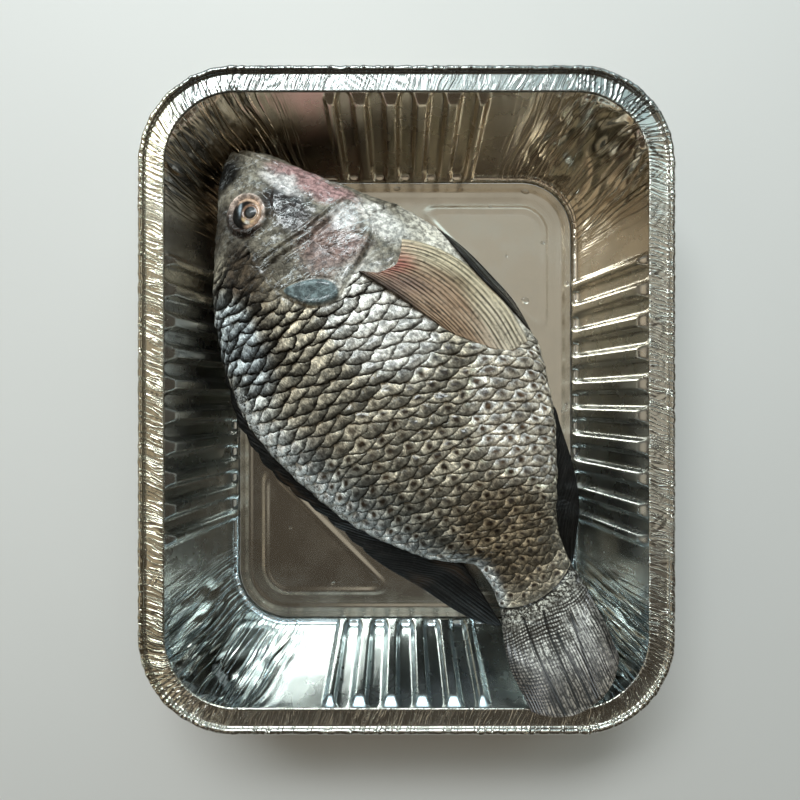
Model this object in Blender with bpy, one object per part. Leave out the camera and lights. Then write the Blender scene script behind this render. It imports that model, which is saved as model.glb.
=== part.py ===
"""A whole scaly fish lying on its side in a deep rectangular foil tray.

The origin is the middle of the tray's underside, +Z is up, and the tray's long side runs along Y.
All values are in metres.
"""

import math

import bmesh
import bpy
import numpy as np

# Tray: half sizes are (along X, along Y) of a rounded rectangle, with its corner radius
FLOOR_HALF = (0.1035, 0.1350)
FLOOR_RADIUS = 0.033
MOUTH_HALF = (0.1190, 0.1510)
MOUTH_RADIUS = 0.036
TRAY_HEIGHT = 0.065
WALL = 0.0008
FLANGE_WIDTH = 0.012
FLANGE_Z = 0.0630
BEAD_RADIUS = 0.0018

# Wall flutes, their pitch, and the ribs that stand inward between them
FLUTES_SHORT = 5
FLUTES_LONG = 9
FLUTE_PITCH = 0.0156
FLUTE_WIDTH = 0.0038
RIB_WIDTH = 0.0034
FLUTE_DEPTH = 0.0010
RIB_DEPTH = 0.0030
SHELF_Z = 0.0575
FLUTE_FOOT_Z = 0.0080
FLUTE_MARGIN = 0.0030
CORNER_STEPS = 12
PLEAT_DEPTH = 0.0006

# Embossed ridges on the tray's floor
RIDGE_WIDTH = 0.0034
RIDGE_HEIGHT = 0.0012
RIDGE_INSET = 0.0085
RIDGE_RADIUS = 0.024
TRIANGLE_LEGS = (0.070, 0.067)
TRIANGLE_INSET = 0.0185
TRIANGLE_RADIUS = 0.006

# Fish: where its snout lies, and the way its long axis points from there
SNOUT = (-0.0886, 0.1336)
HEADING = math.radians(-58.0)
BODY_MIDDLE_Z = 0.0310
LOWEST_Z = 0.0026
FIN_START = 0.283
TAIL_END = 0.330
TAIL_ROUNDING = 0.012

# Edges of the fish in plan: distance from the snout along the axis, then distance toward the belly
BELLY_EDGE = ((-0.002, 0.002), (0.003, 0.008), (0.009, 0.014), (0.022, 0.0225), (0.045, 0.0395),
              (0.076, 0.062), (0.100, 0.073), (0.125, 0.079), (0.150, 0.083), (0.168, 0.0825),
              (0.189, 0.0768), (0.207, 0.0703), (0.227, 0.060), (0.246, 0.0487), (0.262, 0.0385),
              (0.281, 0.0335), (0.301, 0.032), (0.315, 0.030), (0.331, 0.025))
BACK_EDGE = ((-0.002, -0.012), (0.003, -0.0175), (0.009, -0.022), (0.022, -0.031), (0.045, -0.0475),
             (0.076, -0.064), (0.100, -0.072), (0.125, -0.0757), (0.144, -0.0742), (0.167, -0.069),
             (0.189, -0.062), (0.207, -0.0545), (0.227, -0.042), (0.246, -0.0255), (0.257, -0.0115),
             (0.268, -0.0098), (0.281, -0.012), (0.301, -0.0205), (0.315, -0.0235), (0.331, -0.024))
HALF_THICKNESS = ((-0.002, 0.0055), (0.003, 0.0095), (0.009, 0.0135), (0.022, 0.0195), (0.045, 0.0255),
                  (0.076, 0.0284), (0.110, 0.0288), (0.140, 0.0278), (0.163, 0.0258), (0.189, 0.0225),
                  (0.207, 0.0196), (0.227, 0.0162), (0.246, 0.0127), (0.266, 0.0095), (0.283, 0.0064),
                  (0.293, 0.0038), (0.303, 0.0024), (0.315, 0.0019), (0.331, 0.0014))
MIDDLE_Z = ((-0.002, BODY_MIDDLE_Z), (0.255, BODY_MIDDLE_Z), (0.268, 0.0325), (0.283, 0.0370),
            (0.298, 0.0440), (0.308, 0.0505), (0.318, 0.0585), (0.331, 0.0690))

# Scales: rows along the flank, and columns half a scale apart
SCALE_ROWS = 17
ROWS_BELOW = 8
SCALE_STEP = 0.0036
SCALE_HEIGHT = 0.0005
HEAD_STEP = 0.0055
GILL_EDGE = 0.076
FIN_STEPS = 9
RAY_HEIGHT = 0.0004

# Fins beside the body: distance along the axis, then the free edge and the root, toward the belly
DORSAL_FREE = ((0.058, -0.0555), (0.090, -0.0725), (0.110, -0.0795), (0.125, -0.083), (0.145, -0.0827),
               (0.164, -0.0790), (0.192, -0.0692), (0.227, -0.0577), (0.256, -0.0432), (0.275, -0.0345),
               (0.288, -0.0262), (0.294, -0.0205))
DORSAL_SPAN = (0.060, 0.2935)
DORSAL_STEPS = 37
DORSAL_WIDEST = 0.026
DORSAL_GAP_START = 0.252
DORSAL_GAP_V = -0.0165
DORSAL_TIP_WIDTH = 0.002
SPINES_END = 0.225
SPINE_NOTCH = 0.0013
ANAL_FREE = ((0.200, 0.0722), (0.208, 0.0730), (0.2175, 0.0704), (0.2345, 0.0663), (0.2533, 0.0598),
             (0.2633, 0.0548), (0.272, 0.048), (0.2825, 0.0392), (0.287, 0.0355))
ANAL_SPAN = (0.203, 0.2865)
ANAL_STEPS = 16
ANAL_TIP_WIDTH = 0.0015
FIN_OVERLAP = 0.006
PELVIC_SPAN = (0.090, 0.164)
PELVIC_STEPS = 14
PELVIC_WIDTH = 0.011
PELVIC_PROUD = 0.0016
PELVIC_HALF = 0.0022

# Section of the back and vent fins: root and free edge heights, then their half thicknesses
SIDE_FIN_SECTION = (0.0295, 0.0255, 0.0027, 0.0009)

# Patches laid on the flank: outlines as distance along the axis, then toward the belly
PATCH_ROOT = 0.0025
EYE = (0.0375, -0.0143)
EYE_RADIUS = 0.0088
ORBIT_RADIUS = 0.0108
EYE_HEIGHT = 0.0020
ORBIT_HEIGHT = 0.0012
EYE_STEPS = 20
GILL_COVER = ((0.060, 0.004), (0.061, -0.012), (0.070, -0.021), (0.0846, -0.0196), (0.0953, -0.0114),
              (0.0994, 0.0007), (0.0955, 0.0100), (0.0900, 0.0200), (0.0835, 0.0290), (0.0730, 0.0360),
              (0.0600, 0.0370), (0.0540, 0.0290), (0.0575, 0.0180))
GILL_COVER_STEPS = 26
GILL_COVER_HEIGHT = 0.0010

# Side fin: roots, bends and tips of its first and last rays, as distance along the axis and toward the belly
PECTORAL_ROOT = ((0.0925, 0.0155), (0.0930, 0.0390))
PECTORAL_BEND = ((0.1150, 0.0290), (0.1040, 0.0720))
PECTORAL_TIPS = ((0.1405, 0.0396), (0.1520, 0.0480), (0.1624, 0.0570), (0.1680, 0.0660), (0.1685, 0.0765))
PECTORAL_RAYS = 13
PECTORAL_STEPS = 6
PECTORAL_HEIGHT = 0.0011
PECTORAL_ROOT_DEPTH = 0.0016


def clear_scene():
    """Remove whatever the scene holds."""
    for thing in list(bpy.data.objects):
        bpy.data.objects.remove(thing, do_unlink=True)


def material(name, colour, roughness, metallic):
    """A plain Principled material."""
    made = bpy.data.materials.new(name)
    made.use_nodes = True
    shader = made.node_tree.nodes["Principled BSDF"]
    shader.inputs["Base Color"].default_value = (*colour, 1.0)
    shader.inputs["Roughness"].default_value = roughness
    shader.inputs["Metallic"].default_value = metallic
    return made


def smooth_step(edge_0, edge_1, x):
    """0 below edge_0, 1 above edge_1 and an S curve between."""
    t = np.clip((np.asarray(x, float) - edge_0) / (edge_1 - edge_0), 0.0, 1.0)
    return t * t * (3.0 - 2.0 * t)


def curve(points, x):
    """Read a smooth curve through a few (x, y) points: cubic pieces whose slopes never overshoot."""
    knots, values = np.array(points, float).T
    steps = np.diff(values) / np.diff(knots)
    slopes = np.zeros_like(values)
    slopes[0], slopes[-1] = steps[0], steps[-1]
    same_way = steps[:-1] * steps[1:] > 0.0
    total = steps[:-1] + steps[1:]
    slopes[1:-1] = np.where(same_way, 2.0 * steps[:-1] * steps[1:] / np.where(same_way, total, 1.0), 0.0)
    x = np.clip(x, knots[0], knots[-1])
    i = np.clip(np.searchsorted(knots, x) - 1, 0, len(knots) - 2)
    gap = knots[i + 1] - knots[i]
    t = (x - knots[i]) / gap
    start = values[i] * (1 + 2 * t) * (1 - t) ** 2 + slopes[i] * gap * t * (1 - t) ** 2
    return start + values[i + 1] * t * t * (3 - 2 * t) + slopes[i + 1] * gap * t * t * (t - 1)


def join_rings(around, first, second, twist=False):
    """Triangles between two rings of vertices. twist splits each quad along its other diagonal."""
    faces = []
    for j in range(around):
        k = (j + 1) % around
        a, b, c, d = first + j, first + k, second + k, second + j
        faces += [(a, b, d), (b, c, d)] if twist else [(a, b, c), (a, c, d)]
    return faces


def mesh_object(name, verts, faces):
    """Make an object of triangles from vertices and faces, with its faces pointing out."""
    mesh = bpy.data.meshes.new(name)
    mesh.from_pydata([tuple(v) for v in verts], [], faces)
    made = bpy.data.objects.new(name, mesh)
    bpy.context.scene.collection.objects.link(made)
    work = bmesh.new()
    work.from_mesh(mesh)
    bmesh.ops.triangulate(work, faces=work.faces[:])
    bmesh.ops.recalc_face_normals(work, faces=work.faces[:])
    work.to_mesh(mesh)
    work.free()
    return made


def zip_cap(loop, upper):
    """Triangles that close a loop whose points 0 to upper run along one side and the rest come back."""
    around = len(loop)
    near = list(range(upper + 1))
    far = [0] + list(range(around - 1, upper - 1, -1))
    faces = []
    i, j = 0, 0
    while i < len(near) - 1 or j < len(far) - 1:
        near_gap = np.linalg.norm(loop[near[i + 1]] - loop[far[j]]) if i < len(near) - 1 else math.inf
        far_gap = np.linalg.norm(loop[far[j + 1]] - loop[near[i]]) if j < len(far) - 1 else math.inf
        if near_gap <= far_gap:
            corners = (near[i], near[i + 1], far[j])
            i += 1
        else:
            corners = (near[i], far[j + 1], far[j])
            j += 1
        if len(set(corners)) == 3:
            faces.append(corners)
    return faces


def loft(name, sections, upper):
    """A closed tube through loops of points, each end zipped shut between its two sides."""
    count, around = sections.shape[:2]
    faces = []
    for i in range(count - 1):
        faces += join_rings(around, i * around, (i + 1) * around)
    for base, loop in ((0, sections[0]), ((count - 1) * around, sections[-1])):
        faces += [tuple(base + corner for corner in corners) for corners in zip_cap(loop, upper)]
    return mesh_object(name, sections.reshape(-1, 3), faces)


def union(target, others):
    """Join others into target with one Boolean, apply it and remove them."""
    group = bpy.data.collections.new(target.name + "_joined")
    for other in others:
        group.objects.link(other)
    join = target.modifiers.new("Join", "BOOLEAN")
    join.operation = "UNION"
    join.solver = "EXACT"
    join.operand_type = "COLLECTION"
    join.collection = group
    depsgraph = bpy.context.evaluated_depsgraph_get()
    joined = bpy.data.meshes.new_from_object(target.evaluated_get(depsgraph))
    target.modifiers.clear()
    target.data = joined
    for other in others:
        bpy.data.objects.remove(other, do_unlink=True)
    bpy.data.collections.remove(group)
    work = bmesh.new()
    work.from_mesh(joined)
    bmesh.ops.dissolve_degenerate(work, dist=0.00001, edges=work.edges[:])
    bmesh.ops.triangulate(work, faces=work.faces[:])
    work.to_mesh(joined)
    work.free()


def level(z):
    """Half sizes and corner radius of the tray's plain inner wall at height z."""
    t = z / FLANGE_Z
    half = [low + t * (high - low) for low, high in zip(FLOOR_HALF, MOUTH_HALF)]
    return half[0], half[1], FLOOR_RADIUS + t * (MOUTH_RADIUS - FLOOR_RADIUS)


def side_stations(flutes, straight):
    """Places along one side, each with its kind: flute (1), rib (-1) or plain wall (0)."""
    zone = 0.5 * flutes * FLUTE_PITCH + FLUTE_MARGIN
    places = [(-straight, 0.0), (-zone, 0.0)]
    for i in range(flutes):
        middle = (i - 0.5 * (flutes - 1)) * FLUTE_PITCH
        places.append((middle - 0.5 * (FLUTE_PITCH - RIB_WIDTH), -1.0))
        places.append((middle - 0.5 * FLUTE_WIDTH, 1.0))
        places.append((middle + 0.5 * FLUTE_WIDTH, 1.0))
        places.append((middle + 0.5 * (FLUTE_PITCH - RIB_WIDTH), -1.0))
    places += [(zone, 0.0), (straight, 0.0)]
    return places


def perimeter(half_x, half_y, radius, relief, pleat):
    """Points round the tray, from the end of one corner to the next, on one rounded rectangle.

    Flutes keep their place along a side at every height, and push the wall in or out by relief.
    """
    points = []
    for side in range(4):
        long_side = side % 2 == 0
        along, out = (half_y, half_x) if long_side else (half_x, half_y)
        flutes = FLUTES_LONG if long_side else FLUTES_SHORT
        turn = 0.5 * math.pi * side
        cos, sin = round(math.cos(turn)), round(math.sin(turn))
        local = []
        for along_side, kind in side_stations(flutes, along - radius):
            local.append((out + kind * relief[0 if kind > 0 else 1], along_side))
        for i in range(1, CORNER_STEPS):
            angle = 0.5 * math.pi * i / CORNER_STEPS
            reach = radius + pleat * (1 if i % 2 else -1)
            local.append((out - radius + reach * math.cos(angle), along - radius + reach * math.sin(angle)))
        points += [(cos * x - sin * y, sin * x + cos * y) for x, y in local]
    return np.array(points)


def offset_loop(points, distance):
    """Move a closed loop of points outward by distance, with mitred corners."""
    before = points - np.roll(points, 1, axis=0)
    after = np.roll(points, -1, axis=0) - points
    normals = []
    for edge in (before, after):
        length = np.linalg.norm(edge, axis=1, keepdims=True)
        normals.append(np.stack([edge[:, 1], -edge[:, 0]], axis=1) / length)
    middle = normals[0] + normals[1]
    middle /= np.linalg.norm(middle, axis=1, keepdims=True)
    mitre = 1.0 / np.clip(np.sum(middle * normals[0], axis=1, keepdims=True), 0.6, 1.0)
    return points + distance * mitre * middle


def tray_ring(z, widen=0.0, flute=1.0, pleat=1.0, thick=0.0, drop=0.0):
    """One ring of the tray's wall at height z, widened beyond the plain wall and thickened."""
    half_x, half_y, radius = level(z)
    relief = (flute * FLUTE_DEPTH, flute * RIB_DEPTH)
    ring = perimeter(half_x + widen, half_y + widen, radius + widen, relief, pleat * PLEAT_DEPTH)
    if thick:
        ring = offset_loop(ring, thick)
    return np.column_stack([ring, np.full(len(ring), z - drop)])


def make_tray():
    """The tray's shell: inner wall, flange, rolled bead, outer wall and floor, with its ridges."""
    bead = FLANGE_WIDTH - BEAD_RADIUS
    bead_z = TRAY_HEIGHT - BEAD_RADIUS
    rings = [
        tray_ring(WALL, flute=0.0, pleat=0.0),
        tray_ring(FLUTE_FOOT_Z),
        tray_ring(SHELF_Z),
        tray_ring(FLANGE_Z, flute=0.0, pleat=0.3),
        tray_ring(FLANGE_Z, widen=bead - BEAD_RADIUS, flute=0.0, pleat=0.5),
    ]
    for degrees in (90, 30, -30, -90, -150):
        angle = math.radians(degrees)
        widen = bead + BEAD_RADIUS * math.cos(angle)
        ring = tray_ring(FLANGE_Z, widen=widen, flute=0.0, pleat=0.5)
        ring[:, 2] = bead_z + BEAD_RADIUS * math.sin(angle)
        rings.append(ring)
    inner_count = len(rings)
    rings += [
        tray_ring(FLANGE_Z, flute=0.0, pleat=0.3, thick=WALL, drop=WALL),
        tray_ring(SHELF_Z, thick=WALL),
        tray_ring(FLUTE_FOOT_Z, thick=WALL),
        tray_ring(0.0, flute=0.0, pleat=0.0, thick=WALL),
    ]
    around = len(rings[0])
    faces = []
    for i in range(len(rings) - 1):
        faces += join_rings(around, i * around, (i + 1) * around, twist=i >= inner_count)
    faces.append(tuple(range(around)))
    faces.append(tuple(range((len(rings) - 1) * around, len(rings) * around)))
    tray = mesh_object("tray", np.concatenate(rings), faces)
    union(tray, floor_ridges())
    tray.data.materials.clear()
    tray.data.materials.append(material("foil", (0.62, 0.61, 0.58), 0.28, 1.0))
    return tray


def rounded_loop(corners, radius, steps):
    """A closed outline through corners, each rounded by an arc of the radius."""
    points = []
    count = len(corners)
    for i in range(count):
        corner = np.array(corners[i])
        to_last = np.array(corners[i - 1]) - corner
        to_next = np.array(corners[(i + 1) % count]) - corner
        to_last /= np.linalg.norm(to_last)
        to_next /= np.linalg.norm(to_next)
        half_angle = 0.5 * math.acos(float(np.clip(to_last @ to_next, -1.0, 1.0)))
        bisector = (to_last + to_next) / np.linalg.norm(to_last + to_next)
        centre = corner + bisector * radius / math.sin(half_angle)
        first = corner + to_last * radius / math.tan(half_angle) - centre
        last = corner + to_next * radius / math.tan(half_angle) - centre
        start = math.atan2(first[1], first[0])
        sweep = (math.atan2(last[1], last[0]) - start + math.pi) % (2 * math.pi) - math.pi
        for k in range(steps + 1):
            angle = start + sweep * k / steps
            points.append(centre + radius * np.array([math.cos(angle), math.sin(angle)]))
    return np.array(points)


def ridge(name, outline):
    """A low closed ridge along an outline on the floor: sloping sides and a flat top."""
    foot = 0.5 * RIDGE_WIDTH
    top = 0.25 * RIDGE_WIDTH
    root = 0.5 * WALL
    rings = []
    for offset, z in ((foot, root), (top, WALL + RIDGE_HEIGHT), (-top, WALL + RIDGE_HEIGHT), (-foot, root)):
        rings.append(np.column_stack([offset_loop(outline, offset), np.full(len(outline), z)]))
    around = len(outline)
    faces = []
    for i in range(len(rings)):
        faces += join_rings(around, i * around, (i + 1) % len(rings) * around)
    return mesh_object(name, np.concatenate(rings), faces)


def floor_ridges():
    """The embossed border and the four corner triangles of the floor."""
    half_x = FLOOR_HALF[0] - RIDGE_INSET
    half_y = FLOOR_HALF[1] - RIDGE_INSET
    border = rounded_loop([(half_x, -half_y), (half_x, half_y), (-half_x, half_y), (-half_x, -half_y)],
                          RIDGE_RADIUS, 5)
    made = [ridge("border_ridge", border)]
    corner_x = FLOOR_HALF[0] - TRIANGLE_INSET
    corner_y = FLOOR_HALF[1] - TRIANGLE_INSET
    for sign_x in (1, -1):
        for sign_y in (1, -1):
            corners = [(sign_x * corner_x, sign_y * corner_y),
                       (sign_x * (corner_x - TRIANGLE_LEGS[0]), sign_y * corner_y),
                       (sign_x * corner_x, sign_y * (corner_y - TRIANGLE_LEGS[1]))]
            if sign_x * sign_y < 0:
                corners.reverse()
            made.append(ridge("triangle_ridge", rounded_loop(corners, TRIANGLE_RADIUS, 3)))
    return made


def place(s, v, z):
    """World points from distances along the fish's axis and toward its belly."""
    x = SNOUT[0] + s * math.cos(HEADING) - v * math.sin(HEADING)
    y = SNOUT[1] + s * math.sin(HEADING) + v * math.cos(HEADING)
    return np.stack(np.broadcast_arrays(x, y, z), axis=-1)


def flank(s, v):
    """Height of the body's upper skin over a place in plan."""
    back, belly = curve(BACK_EDGE, s), curve(BELLY_EDGE, s)
    across = np.clip(2.0 * (v - back) / (belly - back) - 1.0, -1.0, 1.0)
    return curve(MIDDLE_Z, s) + curve(HALF_THICKNESS, s) * (1.0 - across * across) ** 0.6


def body_sections():
    """Loops round the fish from snout to tail: flattened ovals, with raised scales and fin rays."""
    head = np.arange(-0.002, GILL_EDGE, HEAD_STEP)
    flanks = np.arange(GILL_EDGE, FIN_START, SCALE_STEP)
    fin = np.linspace(FIN_START + 0.003, TAIL_END, FIN_STEPS)
    stations = np.concatenate([head, flanks, fin])
    above = np.pi * np.arange(SCALE_ROWS) / SCALE_ROWS
    below = np.pi + 0.5 * np.pi * (1.0 - np.cos(np.pi * np.arange(ROWS_BELOW) / ROWS_BELOW))
    angle = np.concatenate([above, below])
    s, a = np.meshgrid(stations, angle, indexing="ij")
    rank, row = np.meshgrid(np.arange(len(stations)), np.arange(len(angle)), indexing="ij")
    across = -np.cos(a)
    rise = np.sign(np.sin(a)) * np.abs(np.sin(a)) ** 1.2
    back, belly = curve(BACK_EDGE, s), curve(BELLY_EDGE, s)
    on_scales = smooth_step(GILL_EDGE, GILL_EDGE + 0.006, s) * smooth_step(FIN_START, FIN_START - 0.01, s)
    on_fin = smooth_step(FIN_START, FIN_START + 0.012, s)
    shown = np.where(row <= SCALE_ROWS, 1.0, 0.0)
    scales = SCALE_HEIGHT * np.where((rank + row) % 2 == 0, 1.0, -0.4) * on_scales * shown
    rays = RAY_HEIGHT * np.where(row % 2 == 0, 1.0, -1.0) * on_fin * shown
    thickness = curve(HALF_THICKNESS, s) + scales + rays
    middle = 0.5 * (back + belly)
    half = 0.5 * (belly - back) + scales
    rounding = TAIL_ROUNDING * smooth_step(FIN_START, TAIL_END, s) * np.abs(across) ** 2.4
    z = np.maximum(curve(MIDDLE_Z, s) + thickness * rise, LOWEST_Z)
    return place(s - rounding, middle + half * across, z)


def fin_loft(name, s, root, free, root_z, free_z, root_half, free_half):
    """A thin fin beside the body: a flat six-sided section that runs along its root and free edge."""
    middle = 0.5 * (root + free)
    middle_z = 0.5 * (root_z + free_z)
    middle_half = 0.5 * (root_half + free_half)
    loops = [place(s, root, root_z - root_half), place(s, middle, middle_z - middle_half),
             place(s, free, free_z - free_half), place(s, free, free_z + free_half),
             place(s, middle, middle_z + middle_half), place(s, root, root_z + root_half)]
    return loft(name, np.stack(loops, axis=1), 2)


def dorsal_fin():
    """The long back fin, folded down along the body, with its free tip past the body's end."""
    s = np.linspace(*DORSAL_SPAN, DORSAL_STEPS)
    notch = SPINE_NOTCH * np.where(np.arange(len(s)) % 2 == 0, 0.7, -0.3) * (s < SPINES_END)
    free = curve(DORSAL_FREE, s) - notch
    inside = np.minimum(curve(BACK_EDGE, s) + FIN_OVERLAP, free + DORSAL_WIDEST)
    past = smooth_step(DORSAL_GAP_START - 0.008, DORSAL_GAP_START + 0.004, s)
    root = inside * (1.0 - past) + np.maximum(DORSAL_GAP_V, free + DORSAL_TIP_WIDTH) * past
    return fin_loft("dorsal_fin", s, root, free, *(value + 0.0 * s for value in SIDE_FIN_SECTION))


def anal_fin():
    """The fin behind the belly, folded back along the body."""
    s = np.linspace(*ANAL_SPAN, ANAL_STEPS)
    free = curve(ANAL_FREE, s)
    root = np.minimum(curve(BELLY_EDGE, s) - FIN_OVERLAP, free - ANAL_TIP_WIDTH)
    return fin_loft("anal_fin", s, root, free, *(value + 0.0 * s for value in SIDE_FIN_SECTION))


def pelvic_fin():
    """The narrow folded fin that lies along the belly's edge."""
    s = np.linspace(*PELVIC_SPAN, PELVIC_STEPS)
    plump = np.sin(np.pi * np.linspace(0.12, 0.92, PELVIC_STEPS)) ** 0.7
    edge = curve(BELLY_EDGE, s)
    root = edge - PELVIC_WIDTH * plump
    free = edge + PELVIC_PROUD * plump
    root_z = flank(s, root) - 0.5 * PELVIC_HALF
    return fin_loft("pelvic_fin", s, root, free, root_z, BODY_MIDDLE_Z + 0.0 * s,
                    PELVIC_HALF * plump, 0.7 * PELVIC_HALF * plump)


def patch(name, outline, rings, height):
    """A low patch on the flank inside a closed outline, following the skin with a raised height.

    Rings shrink from the outline to its middle. height gets ring distance (1 at the rim, 0 in the
    middle) and the turn round the outline.
    """
    outline = np.array(outline)
    centre = outline.mean(axis=0)
    around = len(outline)
    turn = np.arange(around) / around
    top = []
    for share in np.linspace(1.0, 0.0, rings + 1)[:-1]:
        loop = centre + share * (outline - centre)
        skin = flank(loop[:, 0], loop[:, 1])
        top.append(place(loop[:, 0], loop[:, 1], skin + height(share, turn)))
    rim_skin = flank(outline[:, 0], outline[:, 1])
    bottom = place(outline[:, 0], outline[:, 1], rim_skin - PATCH_ROOT)
    skin = flank(*centre)
    verts = np.concatenate(top + [bottom, [place(*centre, skin + height(0.0, 0.0))],
                                  [place(*centre, skin - 2.0 * PATCH_ROOT)]])
    below, crown, pit = rings * around, (rings + 1) * around, (rings + 1) * around + 1
    faces = join_rings(around, 0, below)
    for i in range(rings - 1):
        faces += join_rings(around, i * around, (i + 1) * around)
    for j in range(around):
        k = (j + 1) % around
        faces.append(((rings - 1) * around + j, (rings - 1) * around + k, crown))
        faces.append((below + j, below + k, pit))
    return mesh_object(name, verts, faces)


def eye():
    """The eye: a raised ring of skin, a groove and the domed ball."""
    angle = 2.0 * np.pi * np.arange(EYE_STEPS) / EYE_STEPS
    outline = [(EYE[0] + ORBIT_RADIUS * math.cos(a), EYE[1] + ORBIT_RADIUS * math.sin(a)) for a in angle]

    def height(share, turn):
        reach = share * ORBIT_RADIUS
        if reach > EYE_RADIUS:
            return ORBIT_HEIGHT * math.sin(math.pi * (ORBIT_RADIUS - reach) / (ORBIT_RADIUS - EYE_RADIUS))
        return EYE_HEIGHT * math.sqrt(1.0 - 0.96 * (reach / EYE_RADIUS) ** 2)

    return patch("eye", outline, 6, height)


def closed_curve(points, count):
    """A smooth closed outline of count points through a few corner points."""
    points = np.array(points)
    turn = np.arange(count) * len(points) / count
    i = turn.astype(int)
    t = (turn - i)[:, None]
    before, here, after, beyond = (points[(i + k) % len(points)] for k in (-1, 0, 1, 2))
    return 0.5 * (2 * here + (after - before) * t + (2 * before - 5 * here + 4 * after - beyond) * t ** 2
                  + (3 * here - before - 3 * after + beyond) * t ** 3)


def gill_cover():
    """The bony cover behind the cheek: its front sinks into the skin, its rear edge stands proud."""
    outline = closed_curve(GILL_COVER, GILL_COVER_STEPS)

    def height(share, turn):
        rear = 0.5 - 0.5 * np.cos(2.0 * np.pi * turn)
        return GILL_COVER_HEIGHT * ((1.0 - share) + (0.1 + rear) * share)

    return patch("gill_cover", outline, 3, height)


def pectoral_fin():
    """The side fin, a fan of rays lying on the flank."""
    ray = np.linspace(0.0, 1.0, PECTORAL_RAYS)[:, None]
    t = np.linspace(0.0, 1.0, PECTORAL_STEPS)[None, :]
    root = [curve(np.column_stack([(0.0, 1.0), ends]), ray) for ends in zip(*PECTORAL_ROOT)]
    bend = [curve(np.column_stack([(0.0, 1.0), ends]), ray) for ends in zip(*PECTORAL_BEND)]
    shares = np.linspace(0.0, 1.0, len(PECTORAL_TIPS))
    tip = [curve(np.column_stack([shares, ends]), ray) for ends in zip(*PECTORAL_TIPS)]
    s, v = ((1 - t) ** 2 * a + 2 * t * (1 - t) * b + t * t * c for a, b, c in zip(root, bend, tip))
    ray_step = np.where(np.arange(PECTORAL_RAYS) % 2 == 0, 0.5, -0.5)[:, None] * RAY_HEIGHT
    skin = flank(s, v)
    top = place(s, v, skin + PECTORAL_HEIGHT + ray_step)
    bottom = place(s, v, skin - PECTORAL_ROOT_DEPTH)
    return loft("pectoral_fin", np.concatenate([top, bottom[:, ::-1]], axis=1), PECTORAL_STEPS - 1)


def make_fish():
    """The fish's body, tail, fins, gill cover and eye as one solid."""
    fish = loft("fish", body_sections(), SCALE_ROWS)
    union(fish, [dorsal_fin(), anal_fin(), pelvic_fin(), gill_cover(), pectoral_fin(), eye()])
    fish.data.materials.clear()
    fish.data.materials.append(material("fish_skin", (0.36, 0.33, 0.28), 0.35, 0.0))
    fish.data.shade_smooth()
    fish.data.set_sharp_from_angle(angle=math.radians(35.0))
    return fish


clear_scene()
make_tray()
make_fish()
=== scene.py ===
"""A whole raw fish lying in a fluted foil tray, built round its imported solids."""

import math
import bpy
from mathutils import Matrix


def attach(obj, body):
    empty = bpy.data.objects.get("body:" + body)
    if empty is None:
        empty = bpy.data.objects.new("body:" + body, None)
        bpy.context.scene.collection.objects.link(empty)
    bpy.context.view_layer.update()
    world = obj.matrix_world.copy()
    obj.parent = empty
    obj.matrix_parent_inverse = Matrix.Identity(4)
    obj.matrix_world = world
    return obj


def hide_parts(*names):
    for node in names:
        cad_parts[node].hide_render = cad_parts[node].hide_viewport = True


bl_info = {
    "name": "Whole Fish in Foil Tray",
    "version": (1, 0, 0),
    "blender": (4, 5, 0),
    "location": "3D View > Sidebar > Fish Tray",
    "description": "Builds a scaly whole fish with its fins, the fluted foil tray under it and a plain studio",
    "category": "Add Mesh",
}

import bpy
import numpy as np
from mathutils import Vector

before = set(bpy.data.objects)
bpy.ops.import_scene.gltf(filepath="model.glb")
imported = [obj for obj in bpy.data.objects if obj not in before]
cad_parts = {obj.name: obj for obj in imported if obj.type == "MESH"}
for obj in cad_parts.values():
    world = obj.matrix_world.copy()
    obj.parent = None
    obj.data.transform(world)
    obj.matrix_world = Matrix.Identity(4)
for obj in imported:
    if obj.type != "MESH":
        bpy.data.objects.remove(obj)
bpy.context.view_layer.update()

# The solids' own sizes, in metres, repeated from the part's source
FLOOR_HALF = (0.1035, 0.1350)
FLOOR_RADIUS = 0.033
MOUTH_HALF = (0.1190, 0.1510)
MOUTH_RADIUS = 0.036
TRAY_HEIGHT = 0.065
WALL = 0.0008
FLANGE_WIDTH = 0.012
FLANGE_Z = 0.0630
BEAD_RADIUS = 0.0018
FLUTES = (9, 5)
FLUTE_PITCH = 0.0156
FLUTE_WIDTH = 0.0038
RIB_WIDTH = 0.0034
SHELF_Z = 0.0575
FLUTE_FOOT_Z = 0.0080
FLUTE_MARGIN = 0.0030
RIDGE_WIDTH = 0.0034
RIDGE_HEIGHT = 0.0012
RIDGE_INSET = 0.0085
RIDGE_RADIUS = 0.024

# The floor's corner triangles, whose legs are a little longer than the solids'
TRIANGLE_LEGS = (0.0765, 0.0765)
TRIANGLE_INSET = 0.0185
TRIANGLE_RADIUS = 0.009
SQUARE_CORNER_RADIUS = 0.015

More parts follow.
